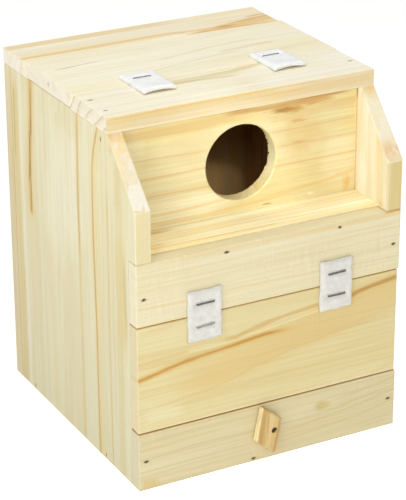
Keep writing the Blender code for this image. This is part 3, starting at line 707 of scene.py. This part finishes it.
lower.knot((36, 26), 4.5, "#B3A168", 0.45)
lower.finish(
    ["nail_lower_left", "nail_lower_right", "nail_lower_floor"], end_rings=0.1, planer=0.02, end_grain="#CDC4A6"
)

# Flap door: a pine board of a warmer colour, sawn a little across the grain, so that its figure and one brown
# streak run slantwise. It hangs on two felt hinges from the upper front board.

door = Board(
    "planed_pine_door", "front_door", "X", "Z", (-260, 60), 17, 8, ("#DCD09F", "#D6C48C", "#C8A660"), slope=0.145, figure=0.55,
    patchy=0.7, hairs=0.1,
)
STREAK_ROUTE = [(-92, 72.6), (-80, 74.4), (-70, 76.3), (-60, 78), (-50, 79.3), (-40, 80.3), (-25, 81.8), (-5, 84)]
FAR_ROUTE = [(50, 94.8), (68, 99), (80, 100.6), (92, 102)]
door.streak([(-92, 106.4), (92, 106.4)], 0.8, "#D9B868", 1.0, fade=2, feather=0.1)
door.streak([(-92, 38.2), (92, 38.2)], 0.9, "#C9A45E", 1.0, fade=2, feather=0.1)
door.streak([(-42, 66), (-6, 74), (29, 81), (60, 88), (90, 94)], 17, "#D6B66E", 0.62, fade=36, feather=0.2)
door.blot((-74, 49), (20, 7), "#E4DCB4", 0.6)
door.streak(STREAK_ROUTE, 3.6, "#D6B468", 0.9, fade=36, feather=0.25)
door.streak(FAR_ROUTE, 4.6, "#D8B86E", 0.75, fade=14, feather=0.25)
door.streak(STREAK_ROUTE, 1.5, "#B98A38", 0.95, fade=22, feather=0.7)
door.streak(FAR_ROUTE, 2.2, "#B2873F", 0.95, fade=12, feather=0.5)
door.streak([(-24, 87), (1, 92), (31, 95.5)], 2.0, "#CBA55C", 0.8, fade=15)
door.streak([(-8, 86.5), (30, 91)], 0.7, "#F0E0AC", 0.5, fade=10)
door.streak([(-90, 83), (-60, 84.5)], 1.6, "#D2B473", 0.7, fade=8)
door.streak([(-84, 53.5), (-42, 56.8), (-6, 65.5), (29, 72), (60, 75.7)], 1.2, "#CFAE6C", 0.4, fade=20)


def door_foot(bm):
    """The door's front arris was left long, so that it nearly meets the lower board."""
    for vert in bm.verts:
        if vert.co.z < 39.6 * MM and vert.co.y < -84 * MM:
            vert.co.z -= 0.8 * MM


door.finish(body="door", end_rings=0.2, planer=0.012, end_grain="#D6C8A2", shape=door_foot)

# Entrance panel: a warm pine board between the sides, set a little back under the roof. Its round entrance was cut
# with a hole saw from the front, so the wall is furry and the rim at the back is torn.

ENTRANCE_RADIUS = 24 * MM
ENTRANCE_HEIGHT = 179.3 * MM
ENTRANCE_POINTS = 216
WALL_RINGS = 8
ARRIS = 0.4 * MM

panel_low, panel_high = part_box("entrance_panel")


def to_panel_edge(point):
    """The place on the panel's outline that lies beyond a place on the rim of the entrance."""
    towards = Vector((point.x, 0, point.z - ENTRANCE_HEIGHT))
    reaches = []
    for axis, low, high in ((0, panel_low.x, panel_high.x), (2, panel_low.z, panel_high.z)):
        if abs(towards[axis]) > 1e-9:
            middle = 0 if axis == 0 else ENTRANCE_HEIGHT
            edge = high if towards[axis] > 0 else low
            reaches.append((edge - middle) / towards[axis])
    return Vector((towards.x * min(reaches), point.y, ENTRANCE_HEIGHT + towards.z * min(reaches)))


def torn_panel():
    bm = bmesh.new()
    rim = bmesh.ops.create_circle(bm, cap_ends=False, segments=ENTRANCE_POINTS, radius=ENTRANCE_RADIUS)["verts"]
    upright = Matrix.Translation((0, panel_low.y, ENTRANCE_HEIGHT)) @ Matrix.Rotation(math.pi / 2, 4, "X")
    bmesh.ops.transform(bm, matrix=upright, verts=rim)
    drawn = bmesh.ops.extrude_edge_only(bm, edges=bm.edges[:])
    outline = [item for item in drawn["geom"] if isinstance(item, bmesh.types.BMVert)]
    for vert in outline:
        vert.co = to_panel_edge(vert.co)
    for x in (panel_low.x, panel_high.x):
        for z in (panel_low.z, panel_high.z):
            corner = Vector((x, panel_low.y, z))
            min(outline, key=lambda vert: (vert.co - corner).length).co = corner
    swept = bmesh.ops.extrude_face_region(bm, geom=bm.faces[:])
    moved = [item for item in swept["geom"] if isinstance(item, bmesh.types.BMVert)]
    bmesh.ops.translate(bm, verts=moved, vec=(0, panel_high.y - panel_low.y, 0))
    bmesh.ops.recalc_face_normals(bm, faces=bm.faces)

    def off_axis(vert):
        return math.hypot(vert.co.x, vert.co.z - ENTRANCE_HEIGHT)

    sharp = [edge for edge in bm.edges if edge.is_manifold and edge.calc_face_angle() > math.radians(30)]
    outer = [edge for edge in sharp if all(off_axis(vert) > ENTRANCE_RADIUS * 1.05 for vert in edge.verts)]
    bmesh.ops.bevel(
        bm, geom=outer, offset=ARRIS, affect="EDGES", segments=2, profile=0.5, material=-1, clamp_overlap=True
    )
    through = [
        edge
        for edge in bm.edges
        if all(off_axis(vert) < ENTRANCE_RADIUS * 1.02 for vert in edge.verts)
        and abs(edge.verts[0].co.y - edge.verts[1].co.y) > 1 * MM
    ]
    bmesh.ops.subdivide_edges(bm, edges=through, cuts=WALL_RINGS, use_grid_fill=True)
    for vert in bm.verts:
        if off_axis(vert) < ENTRANCE_RADIUS * 1.02:
            depth = (vert.co.y - panel_low.y) / (panel_high.y - panel_low.y)
            angle = math.atan2(vert.co.z - ENTRANCE_HEIGHT, vert.co.x)
            around = Vector((math.cos(angle), math.sin(angle), depth * 0.8))
            furry = 0.16 * MM * noise.noise(around * 22)
            splinters = max(0.0, noise.noise(around * 24 + Vector((5, 0, 0))) + 0.12)
            chipped = max(0.0, math.cos(angle - 0.6)) ** 3
            torn = 4.5 * MM * splinters * (0.08 + chipped) * max(0.0, (depth - 0.72) / 0.28) ** 1.5
            eased = 0.75 * MM * max(0.0, 1 - depth * 14) - 0.4 * MM
            if 0.05 < depth < 0.15:
                vert.co.y = panel_low.y + 0.7 * MM
            outward = Vector((math.cos(angle), 0, math.sin(angle)))
            vert.co += outward * (furry + torn + eased)
        elif vert.co.z < panel_low.z + 1 * MM:
            # It stands on the ledge, and the glue closed the joint
            vert.co.z -= 0.25 * MM
        if vert.co.x > panel_high.x - 1 * MM:
            vert.co.x += 0.85 * MM
        elif vert.co.x < panel_low.x + 1 * MM:
            vert.co.x -= 0.25 * MM
    mesh = bpy.data.meshes.new("entrance_board")
    bm.to_mesh(mesh)
    bm.free()
    return mesh


panel = Board(
    "planed_pine_panel", "entrance_panel", "X", "Z", (-240, 70), 10, 9, ("#EEE1AE", "#EAD796", "#DDB872"), figure=0.45,
    patchy=0.9, hairs=0.25,
)
# Painted light: a pale patch lifts the lower left, where the left wing and the ledge shade the panel
panel.blot((-40, 156), (44, 16), "#FFF4CC", 0.95, ragged=0.4)
# Painted light: a pale patch lightens the upper left edge, where the left wing casts its shadow
panel.blot((-72, 200), (12, 20), "#FFF6D2", 0.4, ragged=0.4)
panel.blot((-72, 169), (9, 10), "#E9C878", 0.5, ragged=0.4)
panel.blot((-28, 196), (24, 18), "#DFCB92", 0.6, ragged=0.4)
panel.blot((70, 166), (20, 30), "#FFF6D6", 0.45, ragged=0.4)
panel.blot((40, 190), (20, 24), "#DDBA70", 0.6, ragged=0.4)
panel.streak([(-92, 208.4), (-40, 208), (-10, 208.6)], 5.0, "#DCBB78", 0.85, fade=25, feather=0.5)
panel.streak([(24, 202), (50, 204), (80, 206)], 4.0, "#E4C484", 0.6, fade=8, feather=0.6)
panel.streak([(-2.5, 211.3), (25, 210.4), (45, 211), (66, 212.5)], 2.4, "#C2904A", 0.95, fade=12, feather=0.5)
panel.blot((31, 207.4), (17, 3.6), "#C9994F", 1.0, ragged=1.0)
panel.blot((28, 207.2), (9, 1.8), "#B0803A", 0.8, ragged=1.0)
panel.blot((50, 209.6), (18, 3.0), "#CFA05A", 0.9)
panel.blot((38, 199), (7, 1.6), "#D6A468", 0.8)
panel.blot((39.5, 185.3), (6, 1.4), "#D3A361", 0.85)
for route in (
    [(20, 172), (79, 172.6)],
    [(30, 184.4), (80, 184.4)],
    [(24, 194.4), (72, 194.7)],
    [(-66, 192.5), (-30, 191)],
    [(-66, 180), (-26, 180.6)],
    [(-66, 168.7), (-24, 168.8)],
):
    panel.streak(route, 2.6, "#E7C584", 0.35)
    panel.streak(route, 0.8, "#D6AC66", 0.4, feather=1.4)
panel.streak([(-66, 152), (-28, 150.5), (30, 154.5), (80, 160.3)], 1.8, "#EBC06A", 0.45)
panel.streak([(-70, 157), (-20, 157.5), (20, 161)], 1.6, "#EBC571", 0.45)
panel.blot((73.5, 153), (3.5, 7), "#ECB453", 0.6)
panel.blot((48, 150.5), (3, 1.2), "#FFF6DC", 0.9, ragged=0.2)
panel.blot((18, 149.5), (4, 0.9), "#A98A50", 0.8)
entrance_board = panel.finish(end_grain="#FFF2C4", end_rings=0.0)
entrance_board.data = torn_panel()
entrance_board.data.materials.append(panel.material)

# Roof strips: two narrow pine boards fixed across the tops of the sides, in front of the lid and behind it. The
# rear one was sawn beside the dark heart of a branch, which shows along its front edge.

SKEW = 3.2 * MM

front_strip = Board(
    "planed_pine_roof_front", "roof_strip_front", "X", "Y", (-205, 49), 8.0, 10, ("#FAF7EA", "#F8F1D8", "#E3D09C"), figure=0.5,
    hairs=0.2,
)
front_strip.streak([(-30, -19), (-12, -18.5), (0, -17.5), (15, -16), (32, -11.5)], 4.6, "#E0CD8E", 0.75, fade=15, feather=0.5)
front_strip.streak([(-24, -21), (-5, -22), (4, -23.5)], 1.4, "#C9A86A", 0.6)
front_strip.streak([(-92, -54.6), (92, -54.6)], 1.9, "#DFCB9C", 1.0, feather=0.1)
for route, width, tint, strength in (
    ([(-92, 220.6), (-40, 220.8), (10, 221.4)], 3.2, "#DDC384", 0.8),
    ([(-92, 216.5), (-30, 216)], 1.4, "#DCC388", 0.6),
    ([(20, 218), (60, 219.4), (92, 219.8)], 3.4, "#E2C68E", 0.8),
    ([(-80, 222.2), (-20, 222.8), (40, 223)], 0.8, "#DDB566", 0.6),
    ([(4, 219.5), (30, 219.8)], 0.9, "#DDB870", 0.6),
):
    front_strip.streak(route, width, tint, strength, fade=20, feather=0.5, on_edge=True)


def tight_below(bm):
    """The underside was glued down tight, a little into the ends of the boards below."""
    for vert in bm.verts:
        if vert.co.z < 215 * MM:
            vert.co.z -= 0.85 * MM


front_strip.finish(
    ["nail_roof_left_front", "nail_roof_left_rear", "nail_roof_right"], end_rings=1.0, shape=tight_below, hole=0.6,
    nail_stain=FAINT_STAIN,
)
rear_strip = Board(
    "planed_pine_roof_rear", "roof_strip_rear", "X", "Y", (-90, 120), 9, 11, ("#FCF4DA", "#F7E8C0", "#E5C78A"), figure=0.5
)
rear_strip.streak([(-92, 88), (-40, 88), (10, 89)], 6, "#E9D19A", 0.85, fade=30, feather=0.4)
rear_strip.streak([(-92, 76), (-20, 77), (30, 77)], 6, "#F1EACF", 0.7, fade=30, feather=0.5)
ORANGE_ROUTE = [(-92, 65), (-70, 65.3), (-52, 65.7), (-12, 66.7), (1, 67.2), (20, 65.4)]
rear_strip.streak(ORANGE_ROUTE, 4.2, "#EFD8A4", 0.9, fade=25, feather=0.3)
rear_strip.streak(ORANGE_ROUTE, 1.3, "#E4C084", 0.8, fade=25, feather=0.8)
rear_strip.streak([(36, 60), (52, 62), (65, 64.5), (80, 67), (92, 69)], 9, "#E9C688", 1.0, fade=10, feather=0.3)
rear_strip.streak([(28, 59.5), (40, 59.5), (90, 58)], 2.2, "#D9AC62", 0.9, fade=10, feather=0.4)
rear_strip.blot((51.6, 63.9), (9, 3.0), "#D6A052", 0.9)
rear_strip.streak([(62, 68), (88, 72)], 1.2, "#D3A761", 0.8, fade=8)
rear_strip.streak([(76, 75), (86, 76)], 1.5, "#C9A052", 0.7, fade=5)


def skewed_strip(bm):
    """The strip was ripped a little out of parallel, and its underside was glued down tight."""
    for vert in bm.verts:
        if vert.co.y < 75 * MM:
            vert.co.y -= SKEW * (vert.co.x / MM + 89) / 178
    tight_below(bm)


rear_strip.finish(end_rings=0.25, end_grain="#F0E8DC", shape=skewed_strip)

# Hatch lid: a pale pine board whose long edges are bevelled to drop between the roof strips. It turns about its
# front edge on two felt hinges.

lid = Board(
    "planed_pine_lid", "hatch_lid", "X", "Y", (200, -60), 11, 12, ("#FAF4DC", "#F7EDC8", "#E5D3A0"), slope=0.06, figure=0.5,
    patchy=0.8, hairs=0.2,
)
lid.streak([(-73.4, 36.4), (-53.4, 38.6)], 0.7, "#A79A72", 0.75, fade=8, feather=1.2)
lid.streak([(29, 20), (58, 21.7)], 2.0, "#DDC494", 0.6, fade=10)
lid.streak([(-10, 24), (20, 30), (50, 33)], 1.0, "#D8C596", 0.5, fade=10)
lid.streak([(-40, 4), (0, 12), (30, 16)], 1.0, "#DDCB9C", 0.5, fade=10)


def skewed_lid(bm):
    """The lid is ripped to match the strip behind it, and its front arris nearly meets the strip in front."""
    for vert in bm.verts:
        if vert.co.y > 45 * MM:
            vert.co.y -= SKEW * (vert.co.x / MM + 89) / 178
        if vert.co.y < -8 * MM and vert.co.z > 223 * MM:
            vert.co.y -= 0.4 * MM
        if vert.co.x > 80 * MM:
            vert.co.x += 0.8 * MM
        if vert.co.z < 215 * MM:
            vert.co.z -= 0.18 * MM


lid.finish(
    body="lid", end_rings=0.18, planer=0.01, shape=skewed_lid,
    end_spots=[
        ((25.3, 219.9), 2.4, "#A79F88", 0.75), ((17, 219), 3.5, "#DDD0A8", 0.5), ((-2, 221), 3.5, "#D8CA9C", 0.5),
        ((41, 217), 4.5, "#E4D8B4", 0.5),
    ],
)

# Turn-button: a slanted block of pine, cut from a strip, that turns on a nail and holds the door shut. Its grain
# runs along the strip, and its left side is drawn pale: painted light from the left.

button = Board(
    "sawn_pine_button", "turn_button", "Z", "X", (-60, -200), 5, 13, ("#CEB67A", "#C4A563", "#A57330"), slope=0.14,
    figure=0.9,
)
# Painted light: a pale streak along the left edge lightens the side that faces the light from the left
button.streak([(41, -7.9), (15, -13.1)], 1.2, "#F2E4B4", 1.0, feather=0.0)
button.streak([(38, -5.9), (14, -10.4)], 1.9, "#BC944E", 0.75, fade=8, feather=0.3)
button.streak([(34, -1), (8, -5.5)], 2.4, "#DCC288", 0.7, fade=8, feather=0.3)
button.streak([(29, 4.6), (5, -0.2)], 2.4, "#B9853F", 0.8, fade=8, feather=0.4)


def slanted(bm):
    """The saw ran at more of a slant to the ends than the strip that the block was cut from."""
    for vert in bm.verts:
        vert.co.x += 0.14 * (vert.co.z - PIVOT_HEIGHT)


PIVOT_HEIGHT = 20.9 * MM
button.finish(body="button", end_grain="#C9A45E", end_rings=0.2, shape=slanted)

# Felt hinges: patches cut from a sheet of white needled felt, 2.4 mm thick, and pinned with staples that draw
# dimples into it. Those on the roof have one staple each, and their front edges have lifted a little.

FELT_CELL = 0.75 * MM
DIMPLE_DEPTH = 0.9 * MM
CLEARANCE = 0.28 * MM


def needled_felt(name, dark, light):
    """Needled polyester felt: matted fibres that scatter the light, with no weave."""
    material, tree, shader = material_named(name)
    place = add(tree, "ShaderNodeTexCoord").outputs["Object"]
    # Fibres are about 0.05 mm thick; they are drawn 0.2 mm thick so that they show
    matted = add(
        tree,
        "ShaderNodeTexNoise",
        {"Vector": place, "Scale": 1 / (0.5 * MM), "Detail": 4.0, "Roughness": 0.7, "Distortion": 2.5},
    )
    clouds = add(tree, "ShaderNodeTexNoise", {"Vector": place, "Scale": 1 / (4 * MM), "Detail": 3.0})
    tone = add(
        tree, "ShaderNodeMath", {0: clouds.outputs["Fac"], 1: 0.8, 2: matted.outputs["Fac"]}, operation="MULTIPLY_ADD"
    )
    share = add(tree, "ShaderNodeMapRange", {"Value": tone, "From Min": 0.5, "From Max": 1.2})
    colour = add(
        tree, "ShaderNodeMix", {"Factor": share, "A": linear(dark), "B": linear(light)}, data_type="RGBA"
    )
    tree.links.new(colour.outputs["Result"], shader.inputs["Base Color"])
    relief = add(tree, "ShaderNodeBump", {"Height": tone, "Strength": 0.8, "Distance": 0.4 * MM})
    tree.links.new(relief.outputs["Normal"], shader.inputs["Normal"])
    shader.inputs["Roughness"].default_value = 0.95
    shader.inputs["Sheen Weight"].default_value = 0.3
    shader.inputs["Sheen Roughness"].default_value = 0.6
    return material


ROOF_FELT = needled_felt("needled_felt_white", "#F1F1EF", "#FFFFFF")
# The door's felt is the same white felt drawn greyer: painted shade for the upright front, which gets less light than
# the roof
DOOR_FELT = needled_felt("needled_felt_painted_shade", "#CDCBC3", "#E9E7E0")


def felt_hinge(node, to_place, staples, lift, seed, felt):
    """A felt patch, made lying flat and then brought to its place by a matrix. Staples are heights along it."""
    low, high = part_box(node)
    back_to_flat = to_place.inverted()
    corners = [back_to_flat @ low, back_to_flat @ high]
    left, right = sorted(corner.x for corner in corners)
    near, far = sorted(corner.y for corner in corners)
    under, top = sorted(corner.z for corner in corners)
    thickness = top - under
    bm = bmesh.new()
    bmesh.ops.create_grid(
        bm,
        x_segments=round((right - left) / FELT_CELL),
        y_segments=round((far - near) / FELT_CELL),
        size=0.5,
        matrix=Matrix.Translation(((left + right) / 2, (near + far) / 2, under))
        @ Matrix.Diagonal((right - left, far - near, 1, 1)),
    )
    swept = bmesh.ops.extrude_face_region(bm, geom=bm.faces[:])
    moved = [item for item in swept["geom"] if isinstance(item, bmesh.types.BMVert)]
    bmesh.ops.translate(bm, verts=moved, vec=(0, 0, thickness))
    bmesh.ops.recalc_face_normals(bm, faces=bm.faces)
    rim = [
        edge
        for edge in bm.edges
        if edge.calc_face_angle() > math.radians(60) and min(vert.co.z for vert in edge.verts) > top - 0.1 * MM
    ]
    bmesh.ops.bevel(
        bm, geom=rim, offset=thickness * 0.4, affect="EDGES", segments=3, profile=0.5, material=-1, clamp_overlap=True
    )
    for vert in bm.verts:
        place = vert.co.copy()
        across = (place.x - left) / (right - left)
        along = (place.y - near) / (far - near)
        high_up = (place.z - under) / thickness
        # Cut with shears, so the outline isn't quite straight, and the cut edge is furry
        wave = noise.noise_vector(Vector((place.x, place.y, seed)) * 160) * 0.45 * MM
        fur = noise.noise_vector(Vector((place.x, place.y, place.z + seed)) * 1100) * 0.16 * MM
        vert.co.x += wave.x + fur.x
        vert.co.y += wave.y + fur.y
        vert.co.z += high_up * 0.3 * MM * noise.noise(Vector((place.x, place.y, seed)) * 330)
        to_edge = min(place.x - left, right - place.x, place.y - near, far - place.y)
        vert.co.z -= high_up * 0.95 * MM * max(0.0, 1 - to_edge / (2.4 * MM)) ** 2
        # The CAD leaves a gap between felt and wood; this one lies on it
        vert.co.z -= (1 - high_up) * CLEARANCE
        for staple_at in staples:
            off_crown = max(0.0, abs(place.x - (left + right) / 2) - 6 * MM)
            reach = math.hypot(off_crown, place.y - staple_at)
            vert.co.z -= high_up * DIMPLE_DEPTH * math.exp(-((reach / (1.9 * MM)) ** 2))
        vert.co.z += lift(across, along)
    bmesh.ops.transform(bm, matrix=to_place, verts=bm.verts)
    bmesh.ops.recalc_face_normals(bm, faces=bm.faces)
    for face in bm.faces:
        face.smooth = True
    mesh = bpy.data.meshes.new(node.replace("hinge", "felt"))
    bm.to_mesh(mesh)
    bm.free()
    mesh.materials.append(felt)
    piece = bpy.data.objects.new(mesh.name, mesh)
    bpy.context.scene.collection.objects.link(piece)
    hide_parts(node)
    return piece


def flat_down(across, along):
    return 0.0


def front_lifted(across, along):
    """The front edge of a roof hinge stands up to 1.7 mm off the wood, most of all right of the middle."""
    towards_front = max(0.0, 1 - along / 0.45) ** 1.6
    arch = math.sin(math.pi * min(1.0, max(0.0, across * 0.9 + 0.05))) ** 0.8
    return 1.7 * MM * towards_front * arch


DOOR_JOINT = 106.5 * MM
DOOR_STAPLES = (8 * MM, -6.4 * MM)
LID_JOINT = -10.15 * MM
LID_STAPLE = 4.2 * MM
ON_FRONT = Matrix(((1, 0, 0, 0), (0, 0, -1, 0), (0, 1, 0, 0), (0, 0, 0, 1)))
ON_ROOF = Matrix.Identity(4)

for number, side in enumerate(("left", "right")):
    felt = felt_hinge(
        f"door_hinge_{side}",
        ON_FRONT,
        [DOOR_JOINT + height for height in DOOR_STAPLES],
        flat_down,
        2 + number,
        DOOR_FELT,
    )
    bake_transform(felt)
for number, side in enumerate(("left", "right")):
    felt = felt_hinge(f"lid_hinge_{side}", ON_ROOF, [LID_JOINT + LID_STAPLE], front_lifted, 6 + number, ROOF_FELT)
    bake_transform(felt)

# Staples: flat galvanised wire with rounded bends, driven through the felt into the wood, each a little askew.

WIRE_THICKNESS = 0.5 * MM
BEND = 0.8 * MM
LEG = 4.0 * MM


def galvanised(name, dull, bright):
    """Galvanised steel wire: dull zinc with drawing marks along it."""
    material, tree, shader = material_named(name)
    place = add(tree, "ShaderNodeTexCoord").outputs["Object"]
    blotches = add(tree, "ShaderNodeTexNoise", {"Vector": place, "Scale": 1 / (1.1 * MM), "Detail": 3.0})
    share = add(tree, "ShaderNodeMapRange", {"Value": blotches.outputs["Fac"], "From Min": 0.35, "From Max": 0.65})
    colour = add(
        tree, "ShaderNodeMix", {"Factor": share, "A": linear(dull), "B": linear(bright)}, data_type="RGBA"
    )
    tree.links.new(colour.outputs["Result"], shader.inputs["Base Color"])
    rough = add(tree, "ShaderNodeMapRange", {"Value": blotches.outputs["Fac"], "To Min": 0.35, "To Max": 0.6})
    tree.links.new(rough.outputs["Result"], shader.inputs["Roughness"])
    shader.inputs["Metallic"].default_value = 1.0
    return material


def bent_staple(node, body, outward, askew, wire, width=0.95 * MM, sunk=0.0):
    """A staple bent from flat wire: half the crown and a leg, drawn along their line and then mirrored."""
    low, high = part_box(node)
    half = (high.x - low.x) / 2
    bm = bmesh.new()
    bmesh.ops.create_grid(bm, x_segments=1, y_segments=1, size=0.5)
    across_wire = Matrix(((0, 0, 1, 0), (width, 0, 0, 0), (0, WIRE_THICKNESS, 0, -WIRE_THICKNESS / 2), (0, 0, 0, 1)))
    bmesh.ops.transform(bm, matrix=across_wire, verts=bm.verts)
    start_face = bm.faces[:]
    crown = bmesh.ops.extrude_face_region(bm, geom=start_face)["geom"]
    bmesh.ops.translate(
        bm, verts=[item for item in crown if isinstance(item, bmesh.types.BMVert)], vec=(half - BEND, 0, 0)
    )
    front = [item for item in crown if isinstance(item, bmesh.types.BMFace)]
    turned = bmesh.ops.spin(
        bm,
        geom=front + [edge for face in front for edge in face.edges] + [vert for face in front for vert in face.verts],
        cent=(half - BEND, 0, -BEND),
        axis=(0, 1, 0),
        dvec=(0, 0, 0),
        angle=math.pi / 2,
        steps=5,
        use_merge=False,
        use_normal_flip=False,
        use_duplicate=False,
    )["geom_last"]
    front = [item for item in turned if isinstance(item, bmesh.types.BMFace)]
    leg = bmesh.ops.extrude_face_region(bm, geom=front)["geom"]
    tips = [item for item in leg if isinstance(item, bmesh.types.BMVert)]
    bmesh.ops.translate(bm, verts=tips, vec=(0, 0, -LEG))
    bmesh.ops.delete(bm, geom=[face for face in bm.faces if all(abs(v.co.x) < 0.01 * MM for v in face.verts)], context="FACES")
    bmesh.ops.mirror(bm, geom=bm.verts[:] + bm.edges[:] + bm.faces[:], axis="X", merge_dist=0.01 * MM)
    bmesh.ops.recalc_face_normals(bm, faces=bm.faces)
    long_edges = [edge for edge in bm.edges if edge.is_manifold and edge.calc_face_angle() > math.radians(60)]
    bmesh.ops.bevel(
        bm, geom=long_edges, offset=0.12 * MM, affect="EDGES", segments=2, profile=0.5, material=-1, clamp_overlap=True
    )
    middle = (low + high) / 2
    if outward == "front":
        stand = Matrix.Translation((middle.x, low.y - 0.12 * MM, middle.z)) @ ON_FRONT
    else:
        stand = Matrix.Translation((middle.x, middle.y, high.z + 0.12 * MM - sunk))
    bmesh.ops.transform(bm, matrix=stand @ Matrix.Rotation(math.radians(askew), 4, "Z"), verts=bm.verts)
    mesh = bpy.data.meshes.new(f"bent_{node}")
    bm.to_mesh(mesh)
    bm.free()
    mesh.materials.append(wire)
    piece = bpy.data.objects.new(mesh.name, mesh)
    bpy.context.scene.collection.objects.link(piece)
    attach(piece, body)
    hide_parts(node)


DARK_WIRE = galvanised("drawn_galvanised_wire", "#5E5B58", "#7E7C79")
# The same wire drawn lighter: painted reflection for the staples that catch more of the light
BRIGHT_WIRE = galvanised("drawn_galvanised_wire_painted_glint", "#8E8C88", "#B5B3AE")
bent_staple("staple_door_left_upper", "house", "front", 1.0, DARK_WIRE)
bent_staple("staple_door_left_lower", "door", "front", 3.0, BRIGHT_WIRE)
bent_staple("staple_door_right_upper", "house", "front", 2.0, DARK_WIRE)
bent_staple("staple_door_right_lower", "door", "front", 0.0, DARK_WIRE)
bent_staple("staple_lid_left", "lid", "roof", -1.5, BRIGHT_WIRE, width=0.6 * MM, sunk=0.25 * MM)
bent_staple("staple_lid_right", "lid", "roof", 1.5, BRIGHT_WIRE, width=0.5 * MM, sunk=0.35 * MM)

# Nails: thin steel nails with small heads, sunk half a millimetre into the wood, which has closed over them.


def nail_steel():
    """Plain steel that has begun to darken: dull and patchy."""
    material, tree, shader = material_named("drawn_nail_steel_darkened")
    place = add(tree, "ShaderNodeTexCoord").outputs["Object"]
    blotches = add(tree, "ShaderNodeTexNoise", {"Vector": place, "Scale": 1 / (0.7 * MM), "Detail": 3.0})
    colour = add(
        tree,
        "ShaderNodeMix",
        {"Factor": blotches.outputs["Fac"], "A": linear("#2A241A"), "B": linear("#5B4F38")},
        data_type="RGBA",
    )
    tree.links.new(colour.outputs["Result"], shader.inputs["Base Color"])
    shader.inputs["Metallic"].default_value = 0.6
    shader.inputs["Roughness"].default_value = 0.6
    return material


DARK_STEEL = nail_steel()
for name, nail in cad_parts.items():
    if name.startswith("nail_") or name == "button_nail":
        nail.data.materials.clear()
        nail.data.materials.append(DARK_STEEL)

# Studio: a white floor, soft light from above, from the front left and from all round, and the camera.

floor_bm = bmesh.new()
bmesh.ops.create_grid(floor_bm, x_segments=1, y_segments=1, size=40)
floor_mesh = bpy.data.meshes.new("studio_floor")
floor_bm.to_mesh(floor_mesh)
floor_bm.free()
studio_floor = bpy.data.objects.new("studio_floor", floor_mesh)
bpy.context.scene.collection.objects.link(studio_floor)
white_paper, paper_tree, paper_shader = material_named("rolled_white_paper")
paper_shader.inputs["Base Color"].default_value = linear("#F4F3F0")
paper_shader.inputs["Roughness"].default_value = 0.9
paper_shader.inputs["Emission Color"].default_value = (1, 1, 1, 1)
paper_shader.inputs["Emission Strength"].default_value = 0.46
floor_mesh.materials.append(white_paper)

LIGHTS = {
    # name: place, aimed at, width, watts
    "key": ((-0.33, -0.87, 0.7), (0, -0.05, 0.17), 0.3, 2.1),
    "left": ((-0.85, -0.62, 0.5), (0, -0.05, 0.15), 0.6, 3.4),
    "overhead": ((0.0, 0.0, 1.2), (0, 0, 0.12), 0.8, 4.95),
}
for name, (place, aim, width, watts) in LIGHTS.items():
    lamp = bpy.data.lights.new(name, "AREA")
    lamp.shape = "DISK"
    lamp.size = width
    lamp.energy = watts
    lamp_object = bpy.data.objects.new(name, lamp)
    lamp_object.location = place
    lamp_object.rotation_euler = (Vector(aim) - Vector(place)).to_track_quat("-Z", "Y").to_euler()
    bpy.context.scene.collection.objects.link(lamp_object)

# Two narrow beams reach through the entrance and light the back panel low down. The third lights the entrance's wall
BEAMS = {
    # name: place, aimed at, angle, watts, size of the source
    "beam": ((-0.215, -0.762, 0.583), (0, -0.045, ENTRANCE_HEIGHT), 3.5, 11, 0.045),
    "left_beam": ((-0.292, -0.733, 0.597), (0, -0.045, ENTRANCE_HEIGHT), 3.5, 12, 0.045),
    "rim_beam": ((-0.482, -0.327, 0.726), (0.014, -0.047, 0.166), 3.2, 8, 0.01),
}
for name, (place, aim, angle, watts, size) in BEAMS.items():
    beam = bpy.data.lights.new(name, "SPOT")
    beam.energy = watts
    beam.spot_size = math.radians(angle)
    beam.spot_blend = 0.8
    beam.shadow_soft_size = size
    beam_object = bpy.data.objects.new(name, beam)
    beam_object.location = place
    beam_object.rotation_euler = (Vector(aim) - Vector(place)).to_track_quat("-Z", "Y").to_euler()
    bpy.context.scene.collection.objects.link(beam_object)

world = bpy.data.worlds.new("studio")
world.use_nodes = True
world.node_tree.nodes["Background"].inputs["Color"].default_value = (1, 1, 1, 1)
world.node_tree.nodes["Background"].inputs["Strength"].default_value = 0.42
bpy.context.scene.world = world
bpy.context.scene.view_settings.view_transform = "Standard"

CAMERA_AT = (-556.4 * MM, -1041.7 * MM, 618.3 * MM)
CAMERA_AZIMUTH = math.radians(-28.153)
CAMERA_ELEVATION = math.radians(23.54)
CAMERA_ROLL = math.radians(-0.211)
camera_data = bpy.data.cameras.new("camera")
camera_data.lens = 148.66
camera_data.clip_start = 0.05
camera = bpy.data.objects.new("camera", camera_data)
camera.matrix_world = (
    Matrix.Translation(CAMERA_AT)
    @ Matrix.Rotation(CAMERA_AZIMUTH, 4, "Z")
    @ Matrix.Rotation(math.pi / 2 - CAMERA_ELEVATION, 4, "X")
    @ Matrix.Rotation(CAMERA_ROLL, 4, "Z")
)
bpy.context.scene.collection.objects.link(camera)
bpy.context.scene.camera = camera
